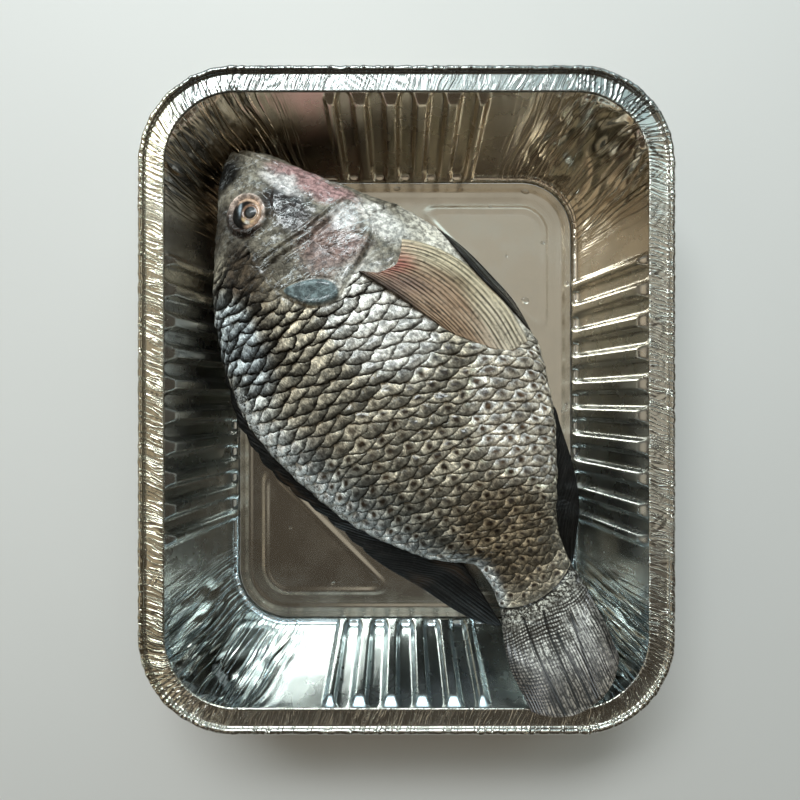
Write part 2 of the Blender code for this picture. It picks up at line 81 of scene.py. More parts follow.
# The fish's own sizes, as in the solids: stations along it and distances toward its belly
SNOUT = (-0.0886, 0.1336)
HEADING = math.radians(-58.0)
LOWEST_Z = 0.0026
FIN_START = 0.283
TAIL_END = 0.330
TAIL_ROUNDING = 0.012
BELLY_EDGE = ((-0.002, 0.002), (0.003, 0.008), (0.009, 0.014), (0.022, 0.0225), (0.045, 0.0395),
              (0.076, 0.062), (0.100, 0.073), (0.125, 0.079), (0.150, 0.083), (0.168, 0.0825),
              (0.189, 0.0768), (0.207, 0.0703), (0.227, 0.060), (0.246, 0.0487), (0.262, 0.0385),
              (0.281, 0.0335), (0.301, 0.032), (0.315, 0.030), (0.331, 0.025))
BACK_EDGE = ((-0.002, -0.012), (0.003, -0.0175), (0.009, -0.022), (0.022, -0.031), (0.045, -0.0475),
             (0.076, -0.064), (0.100, -0.072), (0.125, -0.0757), (0.144, -0.0742), (0.167, -0.069),
             (0.189, -0.062), (0.207, -0.0545), (0.227, -0.042), (0.246, -0.0255), (0.257, -0.0115),
             (0.268, -0.0098), (0.281, -0.012), (0.301, -0.0205), (0.315, -0.0235), (0.331, -0.024))
HALF_THICKNESS = ((-0.002, 0.0055), (0.003, 0.0095), (0.009, 0.0135), (0.022, 0.0195), (0.045, 0.0255),
                  (0.076, 0.0284), (0.110, 0.0288), (0.140, 0.0278), (0.163, 0.0258), (0.189, 0.0225),
                  (0.207, 0.0196), (0.227, 0.0162), (0.246, 0.0127), (0.266, 0.0095), (0.283, 0.0064),
                  (0.293, 0.0038), (0.303, 0.0024), (0.315, 0.0019), (0.331, 0.0014))
MIDDLE_Z = ((-0.002, 0.0310), (0.255, 0.0310), (0.268, 0.0325), (0.283, 0.0370), (0.298, 0.0440),
            (0.308, 0.0505), (0.318, 0.0585), (0.331, 0.0690))
DORSAL_FREE = ((0.058, -0.0555), (0.090, -0.0725), (0.110, -0.0795), (0.125, -0.083), (0.145, -0.0827),
               (0.164, -0.0790), (0.192, -0.0692), (0.227, -0.0577), (0.256, -0.0432), (0.275, -0.0345),
               (0.288, -0.0262), (0.294, -0.0205))
DORSAL_SPAN = (0.060, 0.2935)
DORSAL_WIDEST = 0.026
DORSAL_GAP_START = 0.252
DORSAL_GAP_V = -0.0165
DORSAL_TIP_WIDTH = 0.002
SPINES_END = 0.225
ANAL_FREE = ((0.200, 0.0722), (0.208, 0.0730), (0.2175, 0.0704), (0.2345, 0.0663), (0.2533, 0.0598),
             (0.2633, 0.0548), (0.272, 0.048), (0.2825, 0.0392), (0.287, 0.0355))
ANAL_SPAN = (0.203, 0.2865)
FIN_OVERLAP = 0.006
PELVIC_SPAN = (0.090, 0.164)
EYE = (0.0375, -0.0143)
EYE_RADIUS = 0.0088
ORBIT_RADIUS = 0.0108

# The side fin's blunt root, the pull of its rays and the line of their tips
PECTORAL_ROOT = ((0.0940, 0.0180), (0.0998, 0.0270), (0.1005, 0.0345), (0.0960, 0.0410), (0.0895, 0.0460))
PECTORAL_BEND = ((0.1150, 0.0290), (0.1130, 0.0815))
PECTORAL_TIPS = ((0.1405, 0.0396), (0.1520, 0.0480), (0.1624, 0.0570), (0.1680, 0.0660), (0.1685, 0.0765))

# Lines on the head, as distance along the fish and toward its belly
GILL_EDGE = ((0.0600, -0.0225), (0.0740, -0.0220), (0.0846, -0.0196), (0.0953, -0.0114), (0.0994, 0.0007),
             (0.0965, 0.0072), (0.0927, 0.0136), (0.0891, 0.0204), (0.0855, 0.0267), (0.0798, 0.0330),
             (0.0694, 0.0380), (0.0585, 0.0384), (0.0513, 0.0376))
CHEEK_RIDGE = ((0.0633, -0.0202), (0.0627, -0.0088), (0.0626, 0.0031), (0.0603, 0.0147), (0.0578, 0.0257),
               (0.0560, 0.0330))
MOUTH_LINE = ((-0.0040, -0.0030), (0.0030, 0.0008), (0.0099, 0.0050), (0.0160, 0.0101), (0.0240, 0.0136),
              (0.0292, 0.0152))
NOSTRIL = (0.0150, -0.0010)
PUPIL = (0.0025, -0.0003)
COVER_PATCH = ((0.0903, -0.0075), (0.60, 0.80), (0.0138, 0.0064))

BREAST_EDGE = ((0.0860, 0.0130), (0.0925, 0.0150), (0.1040, 0.0215), (0.1180, 0.0295), (0.1405, 0.0390),
               (0.1520, 0.0470), (0.1600, 0.0560), (0.1660, 0.0680), (0.1690, 0.0830))
# Lines of painted shade on the tail fin, along its folds between the rays.
FOLD_SHADE_LINES = (((0.2920, 0.0068), (0.3023, 0.0029), (0.3117, 0.0007), (0.3206, -0.0016), (0.3280, -0.0034)),
             ((0.3030, 0.0068), (0.3056, 0.0061), (0.3167, 0.0049), (0.3290, 0.0027)),
             ((0.3000, 0.0180), (0.3130, 0.0130), (0.3290, 0.0062)),
             ((0.2900, -0.0040), (0.3060, -0.0075), (0.3290, -0.0110)))

# How the fish is cut into pieces, and how finely each is divided
HEAD_END = 0.097
BODY_COLUMNS = (330, 100)
HEAD_ROWS = 200
FLANK_MIDDLE = 0.190
FLANK_ROWS = 212
TAIL_ROWS = 130
COLUMN_SPREAD = 0.26
ROOT_BULGE = 0.0050
SCALE_REACH = 0.9
STRAIGHT_STEP = 0.00078
CORNER_COLUMNS = 150

# The finer forms, which only the scene has
SPINE_PITCH = 0.0126
RAY_PITCH = 0.0052
SIDE_FIN_RAYS = 17.0
TAIL_RAYS = 36.0
PRESSED_HEIGHT = 0.6 * RIDGE_HEIGHT
PRESSED_REACH = 0.85 * RIDGE_WIDTH
FLOOR_GAP = 0.0028
BEAD_DENT = 0.00022
SCALE_LIMITS = (-0.01, 0.34)
EDGE_FIN_MIDDLE_Z = (0.0295, 0.0255)
EDGE_FIN_HALF = (0.0027, 0.0009)
SIDE_FIN_GRID = (230, 90)
BELLY_FIN_INSET = 0.0074
BELLY_FIN_WIDTH = 0.0086
BELLY_FIN_Z = 0.0310 + 0.0008
EYE_REACH = 0.0092
WALL_FOOT = (0.0030, 0.0045)
FLOOR_GRID = (236, 306)
DROPLET_RISE = 0.00045

# Where across the tray the foil's painted reflection tinting along the back's side begins and is full
BACK_SIDE = (-0.105, -0.125)
# Shader settings that all wet skin shares
WET = {"IOR": 1.42, "Specular_IOR_Level": 0.15}

# Colours of the skin's fine marks in linear light, and of its painted details as display colours: painted shade in the
# scales' cracks and the tail's folds, the cap of the scales' painted light, painted glints, and a silvery band with
# painted sheen
BRIGHTEST_LIT_SCALE = (0.96, 0.94, 0.88, 1.0)
CRACK_SHADE = (0.008, 0.006, 0.004, 1.0)
PIT = (0.012, 0.012, 0.011, 1.0)
SMALL_SCALE_OUTLINE = (0.05, 0.038, 0.033, 1.0)
GLINT = (0.80, 0.84, 0.84, 1.0)
TAIL_FOLD_SHADE = (0.008, 0.007, 0.006, 1.0)
FIN_MOTTLE = (0.02, 0.018, 0.016, 1.0)
SILVER_SHEEN_BAND = (210, 220, 222)
EYELID_SHADE = (58, 48, 43)
EYELID_LIGHT = (220, 198, 184)


def paint(red, green, blue):
    """A display colour in 0 to 255 as linear light."""
    share = np.array((red, green, blue)) / 255.0
    return tuple(np.where(share <= 0.04045, share / 12.92, ((share + 0.055) / 1.055) ** 2.4))


def colour_property(name, description, colour):
    """A colour setting whose default is given as a display colour."""
    return bpy.props.FloatVectorProperty(name=name, description=description, default=paint(*colour),
                                         size=3, min=0.0, max=1.0, subtype="COLOR")


def length_property(name, description, default):
    """A length setting in metres."""
    return bpy.props.FloatProperty(name=name, description=description, default=default, min=0.0,
                                   precision=5, unit="LENGTH")


def power_property(name, description, default):
    """A light's power in watts."""
    return bpy.props.FloatProperty(name=name, description=description, default=default, min=0.0, unit="POWER")


class FishLooks(bpy.types.PropertyGroup):
    """Sizes of the scales and rays, and the colours of the skin."""

    scale_pitch: length_property("Scale pitch", "Distance between scales along the fish", 0.0072)
    scale_row: length_property("Scale row", "Distance between rows of scales across the fish", 0.0088)
    scale_height: length_property("Scale height", "How far the middle of a scale stands up", 0.00145)
    ray_height: length_property("Ray height", "How far a fin ray stands up", 0.00035)
    flank: colour_property("Flank", "Skin on the middle of the side", (134, 128, 114))
    belly: colour_property("Belly", "Skin on the front of the belly", (234, 228, 212))
    breast: colour_property("Breast", "Skin round the side fin", (238, 235, 226))
    vent: colour_property("Vent", "Skin on the rear of the belly", (224, 212, 192))
    stalk: colour_property("Tail stalk", "Skin before the tail fin", (98, 86, 68))
    back: colour_property("Back", "Skin along the back", (84, 85, 80))
    hump: colour_property("Hump", "Skin over the shoulder", (134, 142, 146))
    nape: colour_property("Nape", "Skin behind the eye", (46, 39, 33))
    snout: colour_property("Snout", "Skin over the mouth", (25, 25, 24))
    cheek: colour_property("Cheek", "Skin between eye and gill cover", (56, 50, 48))
    cover: colour_property("Gill cover", "Skin of the gill cover", (140, 116, 108))
    cover_patch: colour_property("Cover patch", "Bluish patch on the gill cover", (116, 130, 131))
    throat: colour_property("Throat", "Pink skin of the throat", (178, 142, 140))
    # Painted highlight: the head's wet skin painted near white where it faces the light.
    wet_highlight: colour_property("Wet highlight", "Whitest skin of the head", (238, 233, 230))
    fin: colour_property("Fin", "Back and vent fins", (12, 11, 10))
    tail: colour_property("Tail fin", "Skin of the tail fin", (172, 168, 162))


class TrayLooks(bpy.types.PropertyGroup):
    """Relief and finish of the foil tray."""

    flute_depth: length_property("Flute depth", "How far a flute is pressed out of the wall", 0.0010)
    rib_depth: length_property("Rib depth", "How far the wall between flutes stands in", 0.0030)
    wrinkle_depth: length_property("Wrinkle depth", "Height of the foil's folds in the corners", 0.0016)
    crimp_pitch: length_property("Crimp pitch", "Distance between creases of the rim", 0.0021)
    crimp_depth: length_property("Crimp depth", "Height of the creases of the rim", 0.00055)
    foil: colour_property("Foil", "Bare aluminium foil", (226, 226, 223))
    floor_foil: colour_property("Floor foil", "Foil of the floor, a little dulled", (222, 217, 205))


class StudioLooks(bpy.types.PropertyGroup):
    """Camera, lights and floor."""

    camera_height: length_property("Camera height", "Height of the camera over the tray's underside", 0.3087)
    camera_x: bpy.props.FloatProperty(name="Camera X", description="Sideways place of the camera",
                                      default=-0.0032, unit="LENGTH")
    lens: bpy.props.FloatProperty(name="Lens", description="Focal length on a 36 mm frame", default=22.68,
                                  min=1.0, unit="CAMERA")
    window_power: power_property("Window power", "Power of the small bright softbox beyond the head", 17.0)
    sky_power: power_property("Sky power", "Power of the large cool softbox round the window", 21.0)
    ceiling_power: power_property("Ceiling power", "Power of the large warm softbox overhead", 2.0)
    side_power: power_property("Side power", "Power of the warm softbox beside the fish's back", 2.0)
    floor: colour_property("Floor", "Studio floor", (226, 224, 220))


# ---------------------------------------------------------------- shapes as arrays

def smooth_step(edge_0, edge_1, x):
    """0 below edge_0, 1 above edge_1 and an S curve between."""
    t = np.clip((np.asarray(x, float) - edge_0) / (edge_1 - edge_0), 0.0, 1.0)
    return t * t * (3.0 - 2.0 * t)


def bump(x, middle, width):
    """A bell of height 1 at middle: exp(-((x - middle) / width)^2)."""
    return np.exp(-((x - middle) / width) ** 2)


def curve(points, x):
    """Read a smooth curve through a few (x, y) points: cubic pieces whose slopes never overshoot."""
    knots, values = np.array(points, float).T
    steps = np.diff(values) / np.diff(knots)
    slopes = np.zeros_like(values)
    slopes[0], slopes[-1] = steps[0], steps[-1]
    same_way = steps[:-1] * steps[1:] > 0.0
    total = steps[:-1] + steps[1:]
    slopes[1:-1] = np.where(same_way, 2.0 * steps[:-1] * steps[1:] / np.where(same_way, total, 1.0), 0.0)
    x = np.clip(x, knots[0], knots[-1])
    i = np.clip(np.searchsorted(knots, x) - 1, 0, len(knots) - 2)
    gap = knots[i + 1] - knots[i]
    t = (x - knots[i]) / gap
    start = values[i] * (1 + 2 * t) * (1 - t) ** 2 + slopes[i] * gap * t * (1 - t) ** 2
    return start + values[i + 1] * t * t * (3 - 2 * t) + slopes[i + 1] * gap * t * t * (t - 1)


def lattice_random(i, j, seed):
    """A fixed random number from 0 to 1 for each pair of whole numbers."""
    mixed = (i.astype(np.int64) * 374761393 + j.astype(np.int64) * 668265263 + seed * 974711) & 0xFFFFFFFF
    mixed = ((mixed ^ (mixed >> 13)) * 1274126177) & 0xFFFFFFFF
    return ((mixed ^ (mixed >> 16)) & 0xFFFFFFFF) / 4294967296.0


def noise(x, y, seed=0):
    """Smooth noise from about -1 to 1, with one lump per unit: slopes on a lattice, eased between."""
    x, y = np.broadcast_arrays(np.asarray(x, float), np.asarray(y, float))
    i, j = np.floor(x), np.floor(y)
    u, w = x - i, y - j
    ease_u, ease_w = (q * q * q * (q * (6 * q - 15) + 10) for q in (u, w))
    corners = []
    for di in (0, 1):
        for dj in (0, 1):
            angle = 2.0 * np.pi * lattice_random(i + di, j + dj, seed)
            corners.append(1.5 * (np.cos(angle) * (u - di) + np.sin(angle) * (w - dj)))
    low = corners[0] * (1 - ease_w) + corners[1] * ease_w
    high = corners[2] * (1 - ease_w) + corners[3] * ease_w
    return low * (1 - ease_u) + high * ease_u


def layered_noise(x, y, seed=0, layers=3):
    """Noise with finer and weaker layers added: sum of noise(2^k x) / 2^k."""
    return sum(noise(x * 2 ** k, y * 2 ** k, seed + k) / 2 ** k for k in range(layers))


def painted(shape, base, *steps):
    """One colour over a grid, with further colours laid over it by shares."""
    colour = np.broadcast_to(np.array(base), shape + (3,)).copy()
    for share, target in steps:
        colour += np.broadcast_to(share, shape)[..., None] * (np.array(target) - colour)
    return colour


def place(s, v, z):
    """World points from distances along the fish's axis and toward its belly."""
    x = SNOUT[0] + s * math.cos(HEADING) - v * math.sin(HEADING)
    y = SNOUT[1] + s * math.sin(HEADING) + v * math.cos(HEADING)
    return np.stack(np.broadcast_arrays(x, y, z), axis=-1)


def tray_axes(ds, dv):
    """Small steps along the fish and toward its belly as steps across and along the tray."""
    return 0.53 * ds + 0.848 * dv, 0.53 * dv - 0.848 * ds


def upper_share(t):
    """Share of the way from back to belly, underneath as on the upper side."""
    return np.where(t > 1.0, 2.0 - t, t)


def across_body(s, v):
    """-1 on the back's edge, 1 on the belly's edge."""
    back, belly = curve(BACK_EDGE, s), curve(BELLY_EDGE, s)
    return 2.0 * (v - back) / (belly - back) - 1.0


def flank_height(s, v):
    """Height of the body's upper skin over a place in plan, without its relief."""
    across = np.clip(across_body(s, v), -1.0, 1.0)
    return curve(MIDDLE_Z, s) + curve(HALF_THICKNESS, s) * (1.0 - across * across) ** 0.6


def line_distance(points, s, v):
    """Signed distance from places to a polyline: positive on its left, going from its first point."""
    points = np.array(points, float)
    best = np.full(np.shape(s), np.inf)
    signed = np.zeros(np.shape(s))
    for (s0, v0), (s1, v1) in zip(points[:-1], points[1:]):
        ds, dv = s1 - s0, v1 - v0
        t = np.clip(((s - s0) * ds + (v - v0) * dv) / (ds * ds + dv * dv), 0.0, 1.0)
        gap_s, gap_v = s - s0 - t * ds, v - v0 - t * dv
        gap = np.hypot(gap_s, gap_v)
        side = np.sign(ds * gap_v - dv * gap_s)
        nearer = gap < best
        best = np.where(nearer, gap, best)
        signed = np.where(nearer, gap * side, signed)
    return signed


def smooth_line(points, count):
    """A polyline redrawn with count points on smooth curves over its length."""
    points = np.array(points, float)
    length = np.concatenate([[0.0], np.cumsum(np.hypot(*np.diff(points, axis=0).T))])
    at = np.linspace(0.0, length[-1], count)
    return np.column_stack([curve(np.column_stack([length, points[:, k]]), at) for k in (0, 1)])


# ---------------------------------------------------------------- meshes

def grid_normals(points, wrap):
    """Unit normals of a grid of points, from the slopes along its rows and columns."""
    along = np.gradient(points, axis=0)
    if wrap:
        across = np.roll(points, -1, axis=1) - np.roll(points, 1, axis=1)
    else:
        across = np.gradient(points, axis=1)
    normals = np.cross(along, across)
    return normals / np.maximum(np.linalg.norm(normals, axis=-1, keepdims=True), 1e-12)


def grid_faces(rows, columns, wrap_rows=False, wrap_columns=False, first=0):
    """Quads between the points of a grid, joined end to end where it wraps."""
    i = np.arange(rows if wrap_rows else rows - 1)[:, None]
    j = np.arange(columns if wrap_columns else columns - 1)[None, :]
    next_i, next_j = (i + 1) % rows, (j + 1) % columns
    corners = [i * columns + j, next_i * columns + j, next_i * columns + next_j, i * columns + next_j]
    return first + np.stack([np.broadcast_to(c, (i.size, j.size)) for c in corners], axis=-1).reshape(-1, 4)


def closed_sheet(points, upper):
    """Quads and end caps of a grid that wraps round, turned so that its upper part faces up."""
    rows, columns = points.shape[:2]
    quads = grid_faces(rows, columns, wrap_columns=True)
    caps = (np.arange(columns), (rows - 1) * columns + np.arange(columns)[::-1])
    if np.mean(grid_normals(points, True)[upper][..., 2]) < 0.0:
        return quads[:, ::-1], [cap[::-1] for cap in caps]
    return quads, caps


def make_piece(name, points, quads, caps=(), normals=None, uv=None, marks=None, material=None, node="fish"):
    """A finished piece: one mesh of quads and end caps, with its attributes, that rides on the body.

    uv holds named maps, marks holds named colours, both one value per point.
    """
    flat = points.reshape(-1, 3)
    caps = [np.asarray(cap) for cap in caps]
    corners = np.concatenate([quads.ravel()] + caps)
    sizes = np.concatenate([np.full(len(quads), 4), np.array([len(cap) for cap in caps], int)])
    mesh = bpy.data.meshes.new(name)
    mesh.vertices.add(len(flat))
    mesh.vertices.foreach_set("co", flat.ravel())
    mesh.loops.add(len(corners))
    mesh.loops.foreach_set("vertex_index", corners)
    mesh.polygons.add(len(sizes))
    mesh.polygons.foreach_set("loop_start", np.concatenate([[0], np.cumsum(sizes)[:-1]]))
    mesh.update(calc_edges=True)
    mesh.polygons.foreach_set("use_smooth", np.arange(len(sizes)) < len(quads))
    for key, values in (uv or {}).items():
        layer = mesh.uv_layers.new(name=key)
        layer.uv.foreach_set("vector", values.reshape(-1, 2)[corners].ravel())
    for key, values in (marks or {}).items():
        layer = mesh.color_attributes.new(key, "FLOAT_COLOR", "POINT")
        values = values.reshape(-1, 3)
        layer.data.foreach_set("color", np.column_stack([values, np.ones(len(values))]).ravel())
    if normals is not None:
        mesh.normals_split_custom_set_from_vertices(normals.reshape(-1, 3))
    made = bpy.data.objects.new(name, mesh)
    bpy.context.scene.collection.objects.link(made)
    mesh.materials.append(material)
    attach(made, "root")
    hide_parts(node)
    return made


# ---------------------------------------------------------------- shader nodes

class Value:
    """A node's output. Arithmetic on it adds Math nodes to its tree."""

    def __init__(self, socket):
        self.socket = socket

    def __add__(self, other):
        return calc("ADD", self, other)

    def __sub__(self, other):
        return calc("SUBTRACT", self, other)

    def __rsub__(self, other):
        return calc("SUBTRACT", other, self)

    def __mul__(self, other):
        return calc("MULTIPLY", self, other)

    def __truediv__(self, other):
        return calc("DIVIDE", self, other)

    def __abs__(self):
        return calc("ABSOLUTE", self)


def place_node(tree, made, inputs):
    """Link each input that is a value and set each that is a plain number or colour."""
    for key, value in inputs.items():
        if isinstance(value, Value):
            tree.links.new(value.socket, made.inputs[key])
        else:
            made.inputs[key].default_value = value


def add(kind, inputs=None, output=0, tree=None, **settings):
    """Add a node beside the first value that it reads, and return one of its outputs."""
    inputs = inputs or {}
    tree = tree or next(value.socket.id_data for value in inputs.values() if isinstance(value, Value))
    made = tree.nodes.new("ShaderNode" + kind)
    for key, value in settings.items():
        setattr(made, key, value)
    place_node(tree, made, inputs)
    return Value(made.outputs[output])


def calc(operation, *values):
    """A Math node on numbers or values."""
    return add("Math", dict(enumerate(values)), operation=operation)


def ramp(value, low, high, low_out=0.0, high_out=1.0):
    """An S curve from low_out below low to high_out above high."""
    inputs = {"Value": value, "From Min": low, "From Max": high, "To Min": low_out, "To Max": high_out}
    return add("MapRange", inputs, interpolation_type="SMOOTHSTEP")


def mix(factor, first, second, mode="MIX"):
    """Mix two colours by a factor."""
    return add("Mix", {0: factor, 6: first, 7: second}, 2, data_type="RGBA", blend_type=mode)


def blend(factor, first, second):
    """Mix two numbers by a factor."""
    return add("Mix", {0: factor, 2: first, 3: second}, data_type="FLOAT")


def toned(tone, red, green, blue):
    """A colour with each channel multiplied."""
    return mix(1.0, tone, (red, green, blue, 1.0), "MULTIPLY")


def scaled(colour, share):
    """A colour multiplied by one number."""
    return add("VectorMath", {0: colour, "Scale": share}, operation="SCALE")


def grain(vector, scale, detail=2.0, roughness=0.5):
    """Noise at a scale in lumps per metre or per unit."""
    return add("TexNoise", {"Vector": vector, "Scale": scale, "Detail": detail, "Roughness": roughness}, "Fac")


def stretched(vector, along, across, move=(0.0, 0.0, 0.0)):
    """Coordinates multiplied along their first two axes, and moved."""
    return add("VectorMath", {0: vector, 1: (along, across, 1.0), 2: move}, operation="MULTIPLY_ADD")


def combined(*values):
    """A vector from its parts."""
    return add("CombineXYZ", dict(enumerate(values)))


def parts(value, kind="XYZ"):
    """The three parts of a vector or a colour."""
    made = add("Separate" + kind, {0: value})
    return [Value(socket) for socket in made.socket.node.outputs]


def attribute(here, name, output="Color"):
    """A named attribute of the piece."""
    return add("Attribute", output=output, tree=here.socket.id_data, attribute_name=name)


def uv_map(here, name):
    """A named map of the piece."""
    return add("UVMap", tree=here.socket.id_data, uv_map=name)


def new_group(name, inputs, outputs):
    """An empty node group; returns it, its inputs as values by name, and its output node."""
    group = bpy.data.node_groups.new(name, "ShaderNodeTree")
    for key, kind in inputs.items():
        group.interface.new_socket(key, in_out="INPUT", socket_type="NodeSocket" + kind)
    for key in outputs:
        group.interface.new_socket(key, in_out="OUTPUT", socket_type="NodeSocketFloat")
    source = group.nodes.new("NodeGroupInput")
    return group, {key: Value(source.outputs[key]) for key in inputs}, group.nodes.new("NodeGroupOutput")


def feed(node, **values):
    """Link values into a node's inputs by name."""
    for key, value in values.items():
        node.id_data.links.new(value.socket, node.inputs[key.replace("_", " ")])


def scale_group():
    """Overlapping scales: which scale covers a place, how far its free edge is, its spot, and the painted shade in the
    cracks at its free edge.
    """
    group, given, result = new_group("Fish Scales", {"Place": "Vector"},
                                     ("Edge Distance", "Spot", "Random", "Streaks", "Crack"))
    lie = given["Place"]
    along, across, _ = parts(lie)
    row_low = calc("FLOOR", across)
    pair = []
    for step in (0.0, 1.0):
        row = row_low + step
        shift = calc("FRACT", row * 0.5)
        off_row = across - row
        reach = calc("SQRT", calc("MAXIMUM", 1.0 - off_row * off_row, 0.0)) * SCALE_REACH
        pair.append((calc("CEIL", along - shift - reach) + shift, reach, row))
    second = calc("LESS_THAN", pair[1][0], pair[0][0])
    centre, reach, row = (calc("MULTIPLY_ADD", high - low, second, low) for low, high in zip(*pair))
    off_along, off_across = along - centre, across - row
    edge = reach - off_along
    random = add("TexWhiteNoise", {"Vector": combined(centre, row)}, "Value", noise_dimensions="2D")
    spot_along, spot_across = (off_along - 0.30) / 0.42, off_across / 0.38
    far = calc("SQRT", spot_along * spot_along + spot_across * spot_across) + (grain(lie, 3.0) - 0.5) * 0.55
    streaks = grain(combined(off_along * 1.5, off_across * 9.0, random * 40.0), 2.2)
    width = ramp(grain(lie, 2.4, 3.0, 0.6), 0.30, 0.70, 0.015, 0.22)
    opened = width * ramp(abs(off_across), 0.55, 0.98, 1.0, 0.25)
    # Painted shade in the cracks at the scales' free edges, widest at the rear tip of each scale.
    crack_shade = ramp(edge / calc("MAXIMUM", opened, 0.01), 1.15, 0.55)
    feed(result, Edge_Distance=edge, Spot=ramp(far, 1.25, 0.05), Random=random, Streaks=streaks, Crack=crack_shade)
    return group


def speck_group():
    """Wet speckle: bright points and bright drawn glints painted as highlights, dark pits and the fine height of wet
    slime.
    """
    group, given, result = new_group(
        "Wet Specks", {"Place": "Vector", "Lie": "Vector", "Points": "Float", "Glints": "Float"},
        ("Bright", "Pits", "Height"))
    here = given["Place"]
    coarse = grain(here, 380.0)
    both = grain(here, 1150.0, 2.0, 0.6) * 0.72 + coarse * 0.28
    level = 0.69 - given["Points"] * 0.235 + (0.5 - grain(here, 120.0, 1.0)) * 0.12
    lines, ridges = [], []
    for across, along, seed in ((300.0, 120.0, 0.0), (520.0, 210.0, 9.0)):
        lie = stretched(given["Lie"], across, along, (seed, seed, 0.0))
        drawn = abs(grain(lie, 1.0, 3.0, 0.6) - 0.5)
        lines.append(ramp(drawn, 0.024, 0.006) * ramp(grain(lie, 0.45, 1.0), 0.52, 0.64))
        ridges.append(ramp(drawn, 0.12, 0.0))
    glints = calc("MAXIMUM", *lines) * given["Glints"]
    height = (both + coarse * 0.6) * 0.5 + calc("MAXIMUM", *ridges) * (given["Glints"] * 0.85)
    feed(result, Bright=calc("MAXIMUM", ramp(both - level, 0.0, 0.035), glints), Pits=ramp(both, 0.44, 0.36),
         Height=height)
    return group


def new_material(name, **settings):
    """A material; returns it, its Principled shader with plain sockets set, and the Object coordinates."""
    made = bpy.data.materials.new(name)
    made.use_nodes = True
    shader = made.node_tree.nodes["Principled BSDF"]
    for key, value in settings.items():
        shader.inputs[key.replace("_", " ")].default_value = value
    return made, shader, add("TexCoord", output="Object", tree=made.node_tree)


def group_node(group, inputs):
    """Place a node group and link its inputs; returns its outputs by name."""
    tree = inputs["Place"].socket.id_data
    made = tree.nodes.new("ShaderNodeGroup")
    made.node_tree = group
    place_node(tree, made, inputs)
    return {socket.name: Value(socket) for socket in made.outputs}


def raise_normal(shader, height, strength, distance):
    """Feed a height into the shader's normal."""
    feed(shader, Normal=add("Bump", {"Strength": strength, "Distance": distance, "Height": height}))


def skin_material():
    """Scaly wet skin: painted tone; scales painted lighter on their front and darker on their rear as painted light and
    shade, each with a spot and painted shade in its cracks; streaks; and wet specks with painted highlights.
    """
    made, shader, here = new_material("scaly_skin", Coat_Roughness=0.12, **WET)
    tone = attribute(here, "skin")
    scaly, spot_and_glint, sparkle_and_outline = parts(attribute(here, "marks"), "Color")
    bare, sparkle_on_scales, lie = 1.0 - scaly, sparkle_and_outline * scaly, uv_map(here, "place")
    scales = group_node(scale_group(), {"Place": uv_map(here, "scales")})
    specks = group_node(speck_group(), {"Place": here, "Lie": lie, "Points": sparkle_on_scales, "Glints": bare * 0.85 + 0.15})
    cells = add("TexVoronoi", {"Vector": lie, "Scale": 270.0}, "Distance", feature="DISTANCE_TO_EDGE",
                voronoi_dimensions="2D")
    outline = ramp(cells, 0.15, 0.02) * (bare * sparkle_and_outline)
    streaks, each = scales["Streaks"], scales["Random"]

    rough = grain(here, 420.0, 3.0, 0.65) - 0.5
    profile = scales["Edge Distance"] + (streaks * 0.7 + each * 0.30 - 0.5 + rough * 0.8)
    # Painted light and shade: each scale's front, which faces the light, is painted pale and its rear slope is painted
    # dark.
    pale = ramp(profile, 0.30, 0.75) * scaly
    shadow = ramp(profile, 0.48, 0.06) * (spot_and_glint * -0.52 + 0.85) * scaly
    light = mix(1.0, toned(tone, 2.70, 2.60, 2.50), BRIGHTEST_LIT_SCALE, "DARKEN")
    colour = mix(pale, tone, scaled(light, ramp(streaks, 0.34, 0.62, 0.70, 1.24)))
    colour = mix(shadow, colour, toned(tone, 0.10, 0.082, 0.060))
    spot = scales["Spot"] * spot_and_glint * (scaly * ramp(each, 0.0, 0.7, 0.8, 1.1))
    colour = mix(spot, colour, toned(tone, 0.10, 0.066, 0.044))
    # The cracks are darkened as painted shade.
    crack_shade = scales["Crack"] * scaly * (spot_and_glint * -0.5 + 1.0)
    colour = mix(crack_shade * 0.92, colour, CRACK_SHADE)
    colour = mix(scaly, colour, scaled(colour, ramp(each, 0.0, 1.0, 0.70, 1.30)))
    colour = scaled(colour, ramp(grain(here, 330.0, 4.0, 0.7), 0.36, 0.66, 0.45, 1.5))
    colour = mix(specks["Pits"] * (sparkle_on_scales * 0.7 + 0.15), colour, PIT)
    colour = mix(outline * 0.34, colour, SMALL_SCALE_OUTLINE)
    # Bright specks and glints are painted highlights, strongest on silvery scales and on the head's wet skin.
    bright = calc("MINIMUM", calc("MAXIMUM", sparkle_on_scales, bare * spot_and_glint) * 0.80 + 0.12, 0.92)
    colour = mix(specks["Bright"] * bright, colour, GLINT)
    dry = calc("MAXIMUM", crack_shade, shadow * 1.2)
    wet = ramp(grain(here, 150.0, 3.0, 0.6), 0.36, 0.62, 0.15, 1.0) * ramp(dry, 0.0, 0.6, 0.75, 0.0)
    feed(shader, Base_Color=colour, Coat_Weight=wet,
         Roughness=dry * 0.35 + ramp(grain(here, 190.0), 0.3, 0.7, 0.34, 0.56))
    raise_normal(shader, outline * -0.8 + (specks["Height"] + streaks * scaly * 0.6), 0.55, 0.0006)
    return made


# ---------------------------------------------------------------- the fish's body

def body_columns():
    """Shares round one loop: 0 to 1 over the upper side from back to belly, 1 to 2 back underneath."""
    up = np.arange(BODY_COLUMNS[0]) / BODY_COLUMNS[0]
    down = 1.0 + np.arange(BODY_COLUMNS[1]) / BODY_COLUMNS[1]
    return np.concatenate([up, down])


